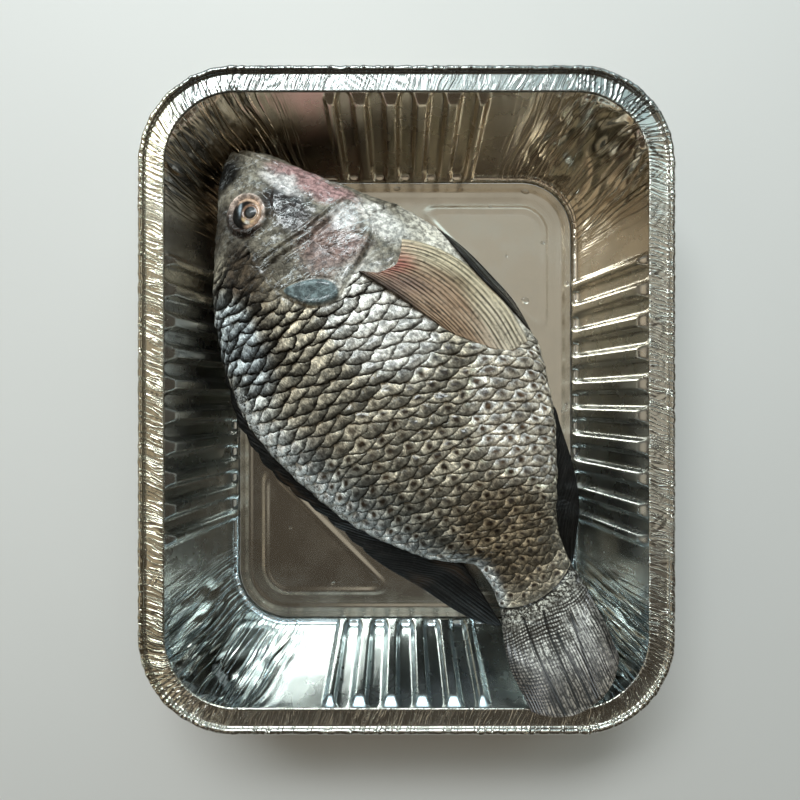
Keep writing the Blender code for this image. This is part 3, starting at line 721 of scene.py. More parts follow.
def body_surface(s, t):
    """Bare body: flattened ovals. Returns points and distance toward the belly.

    angle = pi (t + spread / (2 pi) sin(2 pi t)), across = -cos(angle), rise = |sin(angle)|^1.2, and
    z = middle + thickness * rise, cut flat where the fish lies on the floor.
    """
    angle = np.pi * (t + COLUMN_SPREAD / (2.0 * np.pi) * np.sin(2.0 * np.pi * t))
    across = -np.cos(angle)
    near_fin = smooth_step(0.255, FIN_START, s) * smooth_step(0.312, FIN_START, s)
    s = s + near_fin * (ROOT_BULGE * (1.0 - across * across) - 0.4 * ROOT_BULGE)
    rise = np.sign(np.sin(angle)) * np.abs(np.sin(angle)) ** 1.2
    back, belly = curve(BACK_EDGE, s), curve(BELLY_EDGE, s)
    v = 0.5 * (back + belly) + 0.5 * (belly - back) * across
    rounding = TAIL_ROUNDING * smooth_step(FIN_START, TAIL_END, s) * np.abs(across) ** 2.4
    z = np.maximum(curve(MIDDLE_Z, s) + curve(HALF_THICKNESS, s) * rise, LOWEST_Z)
    return place(s - rounding, v, z), s, v


def end_cap(first, facing_tail):
    """Triangles that close one loop of the body, each between its upper and its lower side."""
    up, down = BODY_COLUMNS
    i = np.arange(up)
    near, far = (i * down) // up, ((i + 1) * down) // up
    lower_near, lower_far = (-near) % (up + down), (-far) % (up + down)
    faces = np.concatenate([np.stack([i, i + 1, lower_near], axis=-1)[1:],
                            np.stack([i + 1, lower_far, lower_near], axis=-1)[(far > near) & (far < down)]])
    return list(first + (faces[:, ::-1] if facing_tail else faces))


def scale_coordinates(looks, s, t):
    """Scale numbers along and across the fish, warped a little so that no two scales match."""
    stations = np.linspace(*SCALE_LIMITS, 400)
    half = 0.5 * (curve(BELLY_EDGE, stations) - curve(BACK_EDGE, stations))
    thick = curve(HALF_THICKNESS, stations)
    arc = 0.5 * np.pi * (3.0 * (half + thick) - np.sqrt((3.0 * half + thick) * (half + 3.0 * thick)))
    shrink = curve(((-0.01, 0.75), (0.06, 0.85), (0.11, 1.0), (0.19, 0.96), (0.25, 0.76), (0.285, 0.62),
                    (0.34, 0.55)), stations)
    number = np.concatenate([[0.0], np.cumsum(np.diff(stations) / (looks.scale_pitch * shrink[1:]))])
    row = looks.scale_row * curve(((-0.01, 0.8), (0.12, 1.0), (0.2, 0.93), (0.285, 0.68), (0.34, 0.6)), s)
    across = (upper_share(t) - 0.47) * np.interp(s, stations, arc) / row
    along = np.interp(s, stations, number) - (0.020 * across * across + 0.14 * across) * smooth_step(0.09, 0.16, s)
    nape = 0.35 * smooth_step(0.115, 0.075, s)
    along = along + (0.22 + nape) * noise(along * 0.55, across * 0.55, 5)
    across = across + (0.20 + nape) * noise(along * 0.6 + 9.0, across * 0.6, 6)
    fine = 0.085 + 0.10 * nape
    return (along + fine * layered_noise(along * 2.1, across * 2.1, 7, 2),
            across + fine * layered_noise(along * 2.1 + 5.0, across * 2.1, 8, 2))


def scale_relief(along, across):
    """Overlapping scales: each is a dome, sin(pi edge^0.62), that drops steeply at its free edge."""
    best = None
    row_low = np.floor(across)
    for row in (row_low, row_low + 1.0):
        shift = np.mod(0.5 * row, 1.0)
        reach = SCALE_REACH * np.sqrt(np.maximum(1.0 - (across - row) ** 2, 0.0))
        centre = np.ceil(along - shift - reach) + shift
        if best is None:
            best = [centre, reach, row]
        else:
            nearer = centre < best[0]
            best = [np.where(nearer, new, old) for new, old in zip((centre, reach, row), best)]
    centre, reach, row = best
    edge = np.clip(centre + reach - along, 0.0, 1.0)
    dome = np.sin(np.pi * edge ** 0.62) ** 0.8
    tilt = 0.7 * (lattice_random(centre * 2.0, row, 3) - 0.5)
    step = 0.35 * (1.0 - edge) * smooth_step(0.0, 0.10, edge)
    return (dome + step) * (1.0 + tilt) * (1.0 - 0.55 * (across - row) ** 2)


def gill_cover_depth(s, v):
    """Distance behind the gill cover's edge: negative on the cover."""
    return -line_distance(smooth_line(GILL_EDGE, 60), s, v)


def patch_radius(s, v):
    """1 on the rim of the bluish patch of the gill cover, 0 in its middle."""
    (s0, v0), (along_s, along_v), (half_long, half_wide) = COVER_PATCH
    ds, dv = s - s0, v - v0
    size = math.hypot(along_s, along_v)
    long_way = (ds * along_s + dv * along_v) / size / half_long
    wide_way = (dv * along_s - ds * along_v) / size / half_wide
    return np.hypot(long_way, wide_way / (1.0 + 0.45 * np.clip(long_way, -1.0, 1.0)))


def bare_breast(s, v):
    """1 on the fine skin round the side fin, which shows no large scales."""
    near = (s > 0.07) & (s < 0.18) & (v > 0.0)
    inside = np.zeros(np.shape(s))
    inside[near] = smooth_step(-0.0010, 0.0040, line_distance(BREAST_EDGE, s[near], v[near]))
    return inside * smooth_step(0.176, 0.160, s)


def scaly_share(s, v):
    """How scaly the skin is: none on the head's front, all behind the gill cover."""
    behind = smooth_step(-0.0002, 0.0020, gill_cover_depth(s, v)) * (1.0 - 0.9 * bare_breast(s, v))
    nape = smooth_step(0.046, 0.060, s - 0.12 * np.minimum(v + 0.02, 0.0))
    throat = smooth_step(0.060, 0.074, s)
    fleshy = smooth_step(1.3, 0.6, np.hypot((s - 0.068) / 0.020, (v + 0.028 - 0.35 * (s - 0.068)) / 0.008))
    return behind * np.where(v > 0.01, throat, nape * (1.0 - 0.6 * fleshy))


def head_relief(s, v):
    """Height of the head's bones, folds and openings over the bare skin."""
    height = np.zeros(np.shape(s))
    depth = gill_cover_depth(s, v)
    rear = smooth_step(0.070, 0.088, s) * smooth_step(0.052, 0.040, v) * smooth_step(-0.0235, -0.015, v)
    height += rear * (0.0017 * smooth_step(0.0006, -0.0006, depth) - 0.0011 * bump(depth, 0.0012, 0.0009)
                      + 0.0004 * bump(depth, -0.0016, 0.0010))
    lower = smooth_step(0.050, 0.058, s) * smooth_step(0.018, 0.028, v)
    height += lower * 0.0008 * (smooth_step(0.0005, -0.0007, depth) - bump(depth, 0.0010, 0.0008))
    ridge = line_distance(smooth_line(CHEEK_RIDGE, 40), s, v)
    fade = smooth_step(-0.024, -0.016, v) * smooth_step(0.036, 0.030, v)
    height += fade * (0.0007 * bump(ridge, 0.0016, 0.0011) + 0.0008 * bump(ridge, -0.0019, 0.0012)
                      - 0.0010 * bump(ridge, 0.0, 0.0008) - 0.0009 * bump(ridge, -0.0042, 0.0010))
    mouth = line_distance(smooth_line(MOUTH_LINE, 40), s, v)
    ahead = smooth_step(0.0315, 0.0270, s)
    height += ahead * (-0.0016 * bump(mouth, 0.0, 0.0009) + 0.0007 * bump(mouth, 0.0022, 0.0017)
                       + 0.0008 * bump(mouth, -0.0024, 0.0018) - 0.0005 * bump(mouth, -0.0058, 0.0012))
    nostril = np.hypot(s - NOSTRIL[0], v - NOSTRIL[1])
    height += 0.0005 * bump(nostril, 0.0017, 0.0007) - 0.0012 * bump(nostril, 0.0, 0.0009)
    eye = np.hypot(s - EYE[0], v - EYE[1])
    ring = 0.5 * (EYE_RADIUS + ORBIT_RADIUS)
    height += 0.0014 * bump(eye, ring, 0.0013) - 0.0012 * smooth_step(EYE_RADIUS, EYE_RADIUS - 0.002, eye)
    height -= 0.0006 * bump(eye, ORBIT_RADIUS + 0.0022, 0.0012)
    patch = patch_radius(s, v)
    height += (0.0007 * smooth_step(1.0, 0.7, patch)
               - 0.0008 * bump(patch, 1.08, 0.10) * smooth_step(-0.02, -0.002, s - 0.09))
    folds = smooth_step(0.030, 0.040, s) * smooth_step(0.075, 0.060, s) * smooth_step(0.020, 0.026, v)
    height += 0.0003 * folds * np.sin(2.0 * np.pi * (v - 0.55 * s) / 0.0042)
    front = smooth_step(0.075, 0.045, s)
    height += 0.00035 * front * layered_noise(s / 0.006, v / 0.006, 11, 3)
    height += 0.0006 * smooth_step(0.055, 0.045, s) * bump(layered_noise(s / 0.012, v / 0.009, 12, 2), 0.0, 0.16) * -0.5
    return height


def under_side_fin(s, v):
    """1 on the skin that the side fin lies on, 0 away from it."""
    edge = np.concatenate([np.column_stack(pectoral_surface(np.zeros(12), np.linspace(0.0, 1.0, 12))), PECTORAL_TIPS,
                           np.column_stack(pectoral_surface(np.ones(12), np.linspace(1.0, 0.0, 12)))])
    near = (np.abs(s - 0.13) < 0.05) & (np.abs(v - 0.045) < 0.045)
    inside = np.zeros(np.shape(s))
    inside[near] = smooth_step(-0.0015, 0.0010, line_distance(edge, s[near], v[near]))
    return inside


def skin_relief(looks, s, t, v):
    """All relief of the body's skin in metres, with its scale coordinates and how scaly it is."""
    along, across = scale_coordinates(looks, s, t)
    scaly = scaly_share(s, v) * smooth_step(FIN_START + 0.003, FIN_START - 0.002, s)
    lower = np.where(t > 1.0, smooth_step(0.0, 0.25, np.minimum(t - 1.0, 2.0 - t)), 0.0)
    size = curve(((0.04, 0.7), (0.11, 1.0), (0.19, 1.0), (0.24, 0.6), (0.285, 0.35)), s)
    edge = np.minimum(upper_share(t), 1.0 - upper_share(t))
    size = size * (0.35 + 0.65 * smooth_step(0.0, 0.12, edge)) * (1.0 - 0.75 * under_side_fin(s, v) * (t < 1.0))
    height = looks.scale_height * scaly * size * scale_relief(along, across) * (1.0 - 0.7 * lower)
    height += head_relief(s, v) * smooth_step(0.115, 0.101, s) * (1.0 - lower)
    height += 0.00045 * scaly * layered_noise(s / 0.009, v / 0.009, 21, 4)
    height += 0.00035 * bare_breast(s, v) * (1.0 - scaly) * layered_noise(along * 3.1, across * 2.2, 22, 2)
    return height, along, across, scaly


SKIN_ZONES = (
    # colour, middle along and toward the belly, half length, half width, turn in degrees, strength
    ("belly", 130, 66, 62, 20, 0, 1.0), ("breast", 118, 14, 34, 22, 12, 0.82), ("vent", 198, 52, 40, 28, -20, 1.0),
    ("stalk", 248, 10, 34, 28, 0, 0.9), ("back", 205, -38, 50, 18, 22, 0.75), ("hump", 92, -54, 32, 15, -8, 0.95),
    ("nape", 62, -32, 15, 13, -20, 0.95), ("nape", 82, -32, 12, 7, -10, 0.6), ("nape", 103, -38, 9, 8, 0, 0.55),
    ("nape", 157, -48, 8, 7, 0, 0.5), ("snout", 8, -12, 11, 10, 0, 1.0), ("nape", 32, -32, 14, 8, -50, 0.8),
    ("cheek", 46, 4, 17, 13, 20, 1.0), ("cover", 76, 12, 16, 16, 0, 0.95), ("nape", 69, -14, 6, 8, 0, 0.55),
    # The two zones of the head's whitest wet skin are painted highlights where it faces the light.
    ("throat", 40, 24, 24, 7, 33, 0.95), ("throat", 72, 37, 14, 4, 10, 0.6), ("wet_highlight", 32, 9, 13, 4.5, 25, 0.7),
    ("wet_highlight", 66, 26, 8, 6, 20, 0.72), ("nape", 47, -26, 12, 9, -40, 0.7), ("stalk", 40, -8, 14, 5, 20, 0.3),
    ("throat", 24, 14, 10, 5, 33, 0.45), ("throat", 82, 22, 5, 10, -20, 0.2), ("breast", 76, 42, 16, 9, 20, 0.95),
    ("stalk", 70, -28, 18, 7, 21, 0.35), ("nape", 62, -33, 9, 6, 21, 0.5),
)


def skin_tone(looks, s, t, v):
    """The painted tone of the skin: soft oval zones laid over one another, a silvery band along the back painted pale
    as its sheen, the eye's rim and the bluish patch.
    """
    wander = 0.003 * layered_noise(s / 0.02, v / 0.02, 31, 2)
    steps = []
    for name, s0, v0, half_long, half_wide, turn, strength in SKIN_ZONES:
        cos, sin = math.cos(math.radians(turn)), math.sin(math.radians(turn))
        ds, dv = s + wander - 0.001 * s0, v - wander - 0.001 * v0
        far = np.hypot((ds * cos + dv * sin) / (0.001 * half_long), (dv * cos - ds * sin) / (0.001 * half_wide))
        steps.append((strength * smooth_step(1.35, 0.55, far), getattr(looks, name)))
    # A pale band along the back: partly the skin's silvery colour and partly a painted sheen of the wet skin.
    sheen_band = 0.95 * bump(upper_share(t), 0.100, 0.075) * smooth_step(0.10, 0.15, s) * smooth_step(0.29, 0.27, s)
    ds, dv = s - EYE[0], v - EYE[1] + 0.0015
    ring = smooth_step(0.0122, 0.0108, np.hypot(ds, dv))
    x, y = tray_axes(ds, dv)
    sunny = smooth_step(-0.006, 0.004, y + 0.5 * x)
    eyelid = painted(np.shape(s), paint(*EYELID_SHADE), (sunny, paint(*EYELID_LIGHT)))
    patch = smooth_step(1.04, 0.94, patch_radius(s, v)) * smooth_step(0.0008, -0.0004, gill_cover_depth(s, v))
    return painted(np.shape(s), looks.flank, *steps, (sheen_band, paint(*SILVER_SHEEN_BAND)), (ring, eyelid),
                   (patch, looks.cover_patch))


def skin_marks(s, t, v, scaly):
    """Masks of the skin: scaliness; the dark spot of each scale, and on the bare head the strength of its painted wet
    glints; and painted sparkle on scales with outlines on the gill cover.

    The third is the sparkle of silvery scales, painted as highlight specks, on scaly skin and the strength of small
    scales' outlines on the gill cover.
    """
    rear = s + 0.25 * (v - 0.02)
    spot_and_glint_share = scaly * (0.45 * smooth_step(0.095, 0.120, rear) + 0.55 * smooth_step(0.122, 0.160, rear))
    # On the bare head this mask sets where its wet glints are painted as highlights.
    wet = 0.22 + 0.78 * np.maximum(smooth_step(0.040, 0.062, s + 0.6 * v),
                                   bump(np.hypot(s - 0.047, v + 0.002), 0.0, 0.012))
    wet = np.where(patch_radius(s, v) < 1.0, 0.4, wet) * (1.0 - 0.9 * smooth_step(0.0, 0.002, gill_cover_depth(s, v)))
    wet = wet * (1.0 - 0.6 * bump(np.hypot(s - 0.080, v - 0.010), 0.0, 0.009))
    spot_and_glint_share = np.maximum(spot_and_glint_share, (1.0 - scaly) * wet * smooth_step(0.17, 0.11, s))
    # Where painted sparkle lies: along the back's silvery band and over the shoulder.
    sparkle_and_outline = bump(upper_share(t), 0.085, 0.055) * smooth_step(0.085, 0.12, s) * smooth_step(0.29, 0.26, s)
    sparkle_and_outline = np.maximum(sparkle_and_outline, 0.38 * bump(np.hypot((s - 0.093) / 0.026, (v + 0.054) / 0.012), 0.0, 1.0))
    cells = smooth_step(0.050, 0.062, s) * smooth_step(0.028, 0.016, v) * smooth_step(1.0, 1.2, patch_radius(s, v))
    sparkle_and_outline = np.maximum(sparkle_and_outline * scaly, cells * (1.0 - scaly) * smooth_step(0.001, 0.0, gill_cover_depth(s, v)))
    return np.stack([scaly, np.clip(spot_and_glint_share, 0.0, 1.0), np.clip(sparkle_and_outline, 0.0, 1.0)], axis=-1)


def body_piece(looks, name, first, last, rows, relief, tone, marks, material):
    """One length of the body between two stations, closed by flat ends that meet its neighbours'."""
    step = (last - first) / (rows - 1)
    stations = first + step * np.arange(-1, rows + 1)
    s, t = np.meshgrid(stations, body_columns(), indexing="ij")
    bare, s, v = body_surface(s, t)
    height, along, across, share = relief(looks, s, t, v)
    outward = grid_normals(bare, True)
    points = bare + height[..., None] * outward
    points[..., 2] = np.maximum(points[..., 2], LOWEST_Z - 0.0004)
    normals = grid_normals(points, True)
    inner = slice(1, -1)
    s, t, v, points, normals = s[inner], t[inner], v[inner], points[inner], normals[inner]
    share = share[inner]
    columns = points.shape[1]
    quads = grid_faces(rows, columns, wrap_columns=True)
    caps = end_cap(0, False) + end_cap((rows - 1) * columns, True)
    uv = {"scales": np.stack([along, across], axis=-1)[inner], "place": np.stack([s, v], axis=-1)}
    return make_piece(name, points, quads, caps, normals, uv,
                      {"skin": tone(looks, s, t, v), "marks": marks(s, t, v, share)}, material)


class FISH_OT_make_body(bpy.types.Operator):
    """Build the head and the scaly flank"""

    bl_idname = "fish.make_body"
    bl_label = "Head and Flank"

    def execute(self, context):
        looks = context.scene.fish_looks
        skin = skin_material()
        for name, first, last, rows in (("fish_head", -0.002, HEAD_END, HEAD_ROWS),
                                        ("fish_flank_front", HEAD_END, FLANK_MIDDLE, FLANK_ROWS),
                                        ("fish_flank_rear", FLANK_MIDDLE, FIN_START, FLANK_ROWS)):
            body_piece(looks, name, first, last, rows, skin_relief, skin_tone, skin_marks, skin)
        return {"FINISHED"}


# ---------------------------------------------------------------- the tail fin

def tail_relief(looks, s, t, v):
    """Tail fin: rays that fan out, a fold across and beads in curved bars near the root."""
    across = across_body(s, v)
    scale_along, scale_across = scale_coordinates(looks, s, t)
    on_fin = smooth_step(FIN_START - 0.001, FIN_START + 0.010, s)
    fan = across * 11.0 + 0.35 * noise(across * 3.0, s / 0.02, 41)
    rays = np.abs(np.sin(np.pi * fan)) ** 0.7 - 0.5
    split = np.abs(np.sin(2.0 * np.pi * fan)) ** 0.7 - 0.5
    split_share = smooth_step(0.300, 0.315, s)
    height = looks.ray_height * on_fin * ((1.0 - split_share) * rays + 0.8 * split_share * split)
    fold = s - (0.2935 + 0.004 * across + 0.003 * np.cos(3.0 * across))
    height += 0.0005 * bump(fold, 0.0015, 0.0014) - 0.0006 * bump(fold, 0.0, 0.0007)
    creases = 0.0008 * layered_noise(across * 2.2, s / 0.05, 43, 2)
    height += on_fin * creases
    near = smooth_step(0.302, 0.286, s)
    height += 0.0004 * near * layered_noise(s / 0.0022, v / 0.0030, 44, 2)
    height -= 0.0009 * bump(s, FIN_START + 0.0012, 0.0012) * smooth_step(1.0, 0.8, np.abs(across))
    end = smooth_step(TAIL_END - 0.0006, TAIL_END, s)
    return height * (1.0 - end), scale_along, scale_across, near


def tail_tone(looks, s, t, v):
    """Pale at the root, grey in the middle, brown toward the end and dark along the edges."""
    across = across_body(s, v)
    return painted(
        np.shape(s), looks.tail,
        (0.55 * smooth_step(0.300, 0.286, s), paint(188, 184, 170)),
        (0.75 * smooth_step(0.306, 0.324, s - 0.002 * across), paint(84, 72, 60)),
        (0.70 * smooth_step(0.72, 0.98, np.abs(across)), paint(58, 52, 47)),
        (0.35 * smooth_step(0.2, 1.0, -across) * smooth_step(0.296, 0.312, s), paint(84, 68, 60)))


def tail_marks(s, t, v, near):
    """Masks of the tail fin: place along and across, and the few dark lines along its rays and creases, painted as the
    shade in these folds.
    """
    across = across_body(s, v)
    dark = np.zeros(np.shape(s))
    for line in FOLD_SHADE_LINES:
        gap = np.abs(line_distance(smooth_line(line, 16), s, v))
        dark = np.maximum(dark, 0.95 * smooth_step(0.00105, 0.00035, gap))
    root = FIN_START + ROOT_BULGE * (1.0 - across * across) - 0.4 * ROOT_BULGE
    # Painted shade along the crease where the scaly stalk ends.
    dark = np.maximum(dark, 0.9 * smooth_step(0.0012, 0.0004, np.abs(s - root - 0.0004)))
    return np.stack([(s - 0.28) / 0.05, 0.5 + 0.5 * across, dark], axis=-1)


def tail_material():
    """Fin skin: reticulated pale skin at the root, bars of pale beads, then dark lines between rays, and painted shade
    along its folds.
    """
    made, shader, here = new_material("tail_fin_skin", Coat_Weight=0.35, Coat_Roughness=0.16, **WET)
    tone = attribute(here, "skin")
    along, across, near = parts(attribute(here, "marks"), "Color")
    drift = grain(here, 60.0) - 0.5
    fan = drift * 0.05 + across
    ray = abs(calc("SINE", fan * (math.pi * TAIL_RAYS)))
    streaks = grain(combined(fan * 46.0, along * 3.0), 1.0, 4.0, 0.7)
    curved = grain(here, 260.0) * 5.0 + (drift * 14.0 + calc("SINE", across * 5.2) * 9.0)
    bars = calc("SINE", calc("POWER", along, 1.2) * 205.0 + curved)
    beads = ramp(bars, -0.35, 0.5) * ramp(ray, 0.20, 0.70)
    lined = ramp(ray * 0.16 + streaks, 0.50, 0.66)
    barred = ramp(drift * 1.6 + (ramp(across, 0.42, 0.0) * -0.55 + along), 0.22, 0.56, 1.0, 0.08)
    net = ramp(abs(grain(here, 330.0, 3.0, 0.6) - 0.5), 0.02, 0.09)
    pattern = blend(ramp(along, 0.34, 0.16), blend(barred, lined, beads), net)
    fine = grain(here, 700.0, 3.0, 0.7)
    pattern = pattern * ramp(fine, 0.38, 0.57, 0.14, 1.0)
    pattern = pattern * ramp(grain(here, 170.0, 3.0, 0.6), 0.34, 0.62, 0.40, 1.15)
    colour = mix(pattern, toned(tone, 0.07, 0.062, 0.055), toned(tone, 2.10, 2.15, 2.13))
    # The fold lines are painted shade.
    feed(shader, Base_Color=mix(near, colour, TAIL_FOLD_SHADE), Roughness=ramp(fine, 0.3, 0.7, 0.55, 0.34))
    raise_normal(shader, pattern * 0.7 + fine * 0.4, 0.7, 0.0006)
    return made


class FISH_OT_make_tail(bpy.types.Operator):
    """Build the tail fin"""

    bl_idname = "fish.make_tail"
    bl_label = "Tail Fin"

    def execute(self, context):
        body_piece(context.scene.fish_looks, "tail_fin", FIN_START, TAIL_END, TAIL_ROWS, tail_relief,
                   tail_tone, tail_marks, tail_material())
        return {"FINISHED"}


# ---------------------------------------------------------------- fins and eye

def fin_sheet(name, top, bottom, fan, marks, material):
    """A thin closed fin from an upper and a lower surface on the same rows."""
    points = np.concatenate([top, bottom[:, ::-1]], axis=1)
    uv = np.concatenate([fan, fan[:, ::-1]], axis=1)
    marks = np.concatenate([marks, marks[:, ::-1]], axis=1)
    quads, caps = closed_sheet(points, np.s_[:, :top.shape[1]])
    return make_piece(name, points, quads, caps, None, {"fan": uv}, {"skin": marks}, material)


def fin_material(name, line_share, line_colour, gap_share, **settings):
    """Fin skin: dark gaps between the rays, pale crests and streaks along them and thin lighter lines."""
    made, shader, here = new_material(name, **WET, **settings)
    tone, fan = attribute(here, "skin"), uv_map(here, "fan")
    streaks = grain(stretched(fan, 3.1, 1.2), 1.0, 4.0, 0.7)
    fine = grain(stretched(fan, 11.0, 2.0), 1.0, 2.0, 0.6)
    ray = abs(calc("SINE", parts(fan)[0] * math.pi))
    colour = mix(ramp(streaks, 0.36, 0.64), toned(tone, 0.38, 0.36, 0.34), toned(tone, 1.50, 1.47, 1.42))
    colour = mix(ramp(streaks * 0.5 + ray, 0.98, 1.22, 0.0, 0.75), colour, toned(tone, 1.75, 1.72, 1.68))
    gap = ramp(ray, 0.65, 0.12) * ramp(streaks, 0.42, 0.56, 1.0, 0.12)
    colour = mix(gap * gap_share, colour, toned(tone, 0.14, 0.12, 0.09))
    colour = mix(ramp(fine, 0.60, 0.68) * line_share, colour, line_colour)
    mottle = ramp(grain(here, 420.0, 3.0, 0.6), 0.5, 0.3, 0.0, 0.5)
    feed(shader, Base_Color=mix(mottle, colour, FIN_MOTTLE), Roughness=ramp(fine, 0.3, 0.7, 0.5, 0.3))
    raise_normal(shader, streaks + fine * 0.5 + ray * 0.6, 0.5, 0.0007)
    return made


def edge_fin(looks, name, s, root, free, ray_lean, material, tone, points_up=26):
    """A fin folded down beside the body: rays leave its root and lean back toward its free edge."""
    share = np.linspace(0.0, 1.0, points_up)[None, :]
    s = s[:, None]
    root, free = root[:, None], free[:, None]
    v = root + share * (free - root)
    rays = (s + ray_lean * np.abs(free - root) * share) / RAY_PITCH
    ripple = np.abs(np.sin(np.pi * rays)) ** 0.8 - 0.4
    middle, half = (at_root + share * (at_edge - at_root) for at_root, at_edge in (EDGE_FIN_MIDDLE_Z, EDGE_FIN_HALF))
    middle = middle + 0.0006 * noise(s / 0.015, share * 2.0, 51)
    fade = np.sin(np.pi * np.clip(share, 0.02, 0.98)) ** 0.4
    top = place(s, v, middle + half + looks.ray_height * ripple * fade)
    bottom = place(s, v, middle - half - 0.5 * looks.ray_height * ripple * fade)
    fan = np.stack(np.broadcast_arrays(rays, share), axis=-1)
    return fin_sheet(name, top, bottom, fan, painted(v.shape, *tone(s, share)), material)


class FISH_OT_make_edge_fins(bpy.types.Operator):
    """Build the back fin and the vent fin, folded down beside the body"""

    bl_idname = "fish.make_edge_fins"
    bl_label = "Back and Vent Fins"

    def execute(self, context):
        looks = context.scene.fish_looks
        dark = fin_material("dark_fin_skin", 0.16, (0.30, 0.29, 0.26, 1.0), 0.5, Coat_Weight=0.12, Coat_Roughness=0.2)
        s = np.linspace(*DORSAL_SPAN, 620)
        spine = np.mod((s - DORSAL_SPAN[0]) / SPINE_PITCH, 1.0)
        notch = 0.0016 * (1.0 - np.abs(2.0 * spine - 1.0) ** 0.6) * smooth_step(SPINES_END, SPINES_END - 0.01, s)
        free = curve(DORSAL_FREE, s) + notch
        inside = np.minimum(curve(BACK_EDGE, s) + FIN_OVERLAP, free + DORSAL_WIDEST)
        past = smooth_step(DORSAL_GAP_START - 0.008, DORSAL_GAP_START + 0.004, s)
        root = inside * (1.0 - past) + np.maximum(DORSAL_GAP_V, free + DORSAL_TIP_WIDTH) * past
        brown = paint(74, 58, 42)
        edge_fin(looks, "back_fin", s, root, free, 2.4, dark, lambda along, share: (
            looks.fin, (0.35 * smooth_step(0.2, 0.9, noise(along / 0.02, share * 3.0, 61)), brown)))
        s = np.linspace(*ANAL_SPAN, 240)
        free = curve(ANAL_FREE, s)
        root = np.minimum(curve(BELLY_EDGE, s) - FIN_OVERLAP, free - 0.0015)
        edge_fin(looks, "vent_fin", s, root, free, 1.8, dark, lambda along, share: (looks.fin,), 20)
        return {"FINISHED"}


def pectoral_surface(a, t):
    """Side fin in plan: quadratic curves from root through bend to tip for each ray a."""
    ends, bends, tips = ([curve(np.column_stack([np.linspace(0.0, 1.0, len(line)), pair]), a) for pair in zip(*line)]
                         for line in (PECTORAL_ROOT, PECTORAL_BEND, PECTORAL_TIPS))
    return [(1 - t) ** 2 * p + 2 * t * (1 - t) * q + t * t * r for p, q, r in zip(ends, bends, tips)]


class FISH_OT_make_side_fins(bpy.types.Operator):
    """Build the side fin and the narrow belly fin that lie on the flank"""

    bl_idname = "fish.make_side_fins"
    bl_label = "Side and Belly Fins"

    def execute(self, context):
        looks = context.scene.fish_looks
        a = np.linspace(0.0, 1.0, SIDE_FIN_GRID[0])[:, None]
        t = np.linspace(0.0, 1.0, SIDE_FIN_GRID[1])[None, :]
        s, v = pectoral_surface(a, t)
        skin = flank_height(s, v)
        wave = np.abs(np.sin(np.pi * SIDE_FIN_RAYS * a ** 0.85)) ** 0.7 - 0.4
        lift = (0.0019 + 0.0016 * bump(a, 0.0, 0.22) * np.sin(np.pi * np.clip(t, 0.0, 1.0))
                + 0.0007 * bump(t, 0.12, 0.15))
        lift = lift * (0.35 + 0.65 * smooth_step(1.02, 0.80, t)) + 0.0003
        lift = lift * (1.0 - 0.6 * smooth_step(0.75, 1.0, a)) + 0.00035 * noise(a * 6.0, t * 3.0, 71)
        top = place(s, v, skin + lift + looks.ray_height * wave * smooth_step(1.0, 0.9, t))
        bottom = place(s, v, skin - 0.0012)
        patches = 0.12 * noise(a * 7.0, t * 2.5, 72)
        tone = painted(s.shape, paint(156, 132, 110),
                       (0.9 * smooth_step(0.55, 0.80, a + 0.10 * t + patches), paint(200, 190, 164)),
                       (0.7 * smooth_step(0.60, 0.95, t + patches) * smooth_step(0.25, 0.6, a), paint(190, 180, 164)),
                       (0.8 * bump(a, 0.72, 0.10) * bump(t, 0.50, 0.16), paint(118, 100, 78)),
                       (0.8 * smooth_step(0.22, 0.03, t - patches) * bump(a, 0.50, 0.34), paint(158, 92, 84)),
                       (0.6 * smooth_step(0.50, 0.30, a) * bump(t, 0.30, 0.20), paint(104, 84, 82)),
                       # Painted shadow: the fin's lifted lower edge near a = 0 is painted dark.
                       (0.85 * smooth_step(0.14, 0.0, a) * smooth_step(0.9, 0.5, t), paint(56, 46, 42)))
        fan = np.stack(np.broadcast_arrays(SIDE_FIN_RAYS * a ** 0.85, 3.0 * t), axis=-1)
        rays = fin_material("side_fin_skin", 0.45, (0.66, 0.60, 0.50, 1.0), 0.72, Coat_Weight=0.35, Coat_Roughness=0.15)
        fin_sheet("side_fin", top, bottom, fan, tone, rays)
        s = np.linspace(*PELVIC_SPAN, 200)[:, None]
        along = np.linspace(0.0, 1.0, 200)[:, None]
        plump = np.sin(np.pi * (0.03 + 0.94 * along)) ** 0.8
        share = np.linspace(0.0, 1.0, 24)[None, :]
        edge = curve(BELLY_EDGE, s)
        v = edge - BELLY_FIN_INSET * plump + share * BELLY_FIN_WIDTH * plump
        low = np.clip(v, None, edge - 0.0004)
        height = flank_height(s, low) * (1.0 - share ** 3) + BELLY_FIN_Z * share ** 3
        ripple = np.sin(2.0 * np.pi * 4.0 * share + 2.0 * np.pi * along)
        top = place(s, v, height + 0.0035 * plump * (1.0 - share ** 4) + 0.0003 * ripple * plump)
        bottom = place(s, v, height - 0.0016 * plump)
        fan = np.stack(np.broadcast_arrays(7.0 * share, 3.0 * along), axis=-1)
        strip = fin_material("belly_fin_skin", 0.6, (0.42, 0.42, 0.40, 1.0), 0.7, Coat_Weight=0.3, Coat_Roughness=0.2)
        fin_sheet("belly_fin", top, bottom, fan, painted(v.shape, paint(26, 25, 24)), strip)
        return {"FINISHED"}


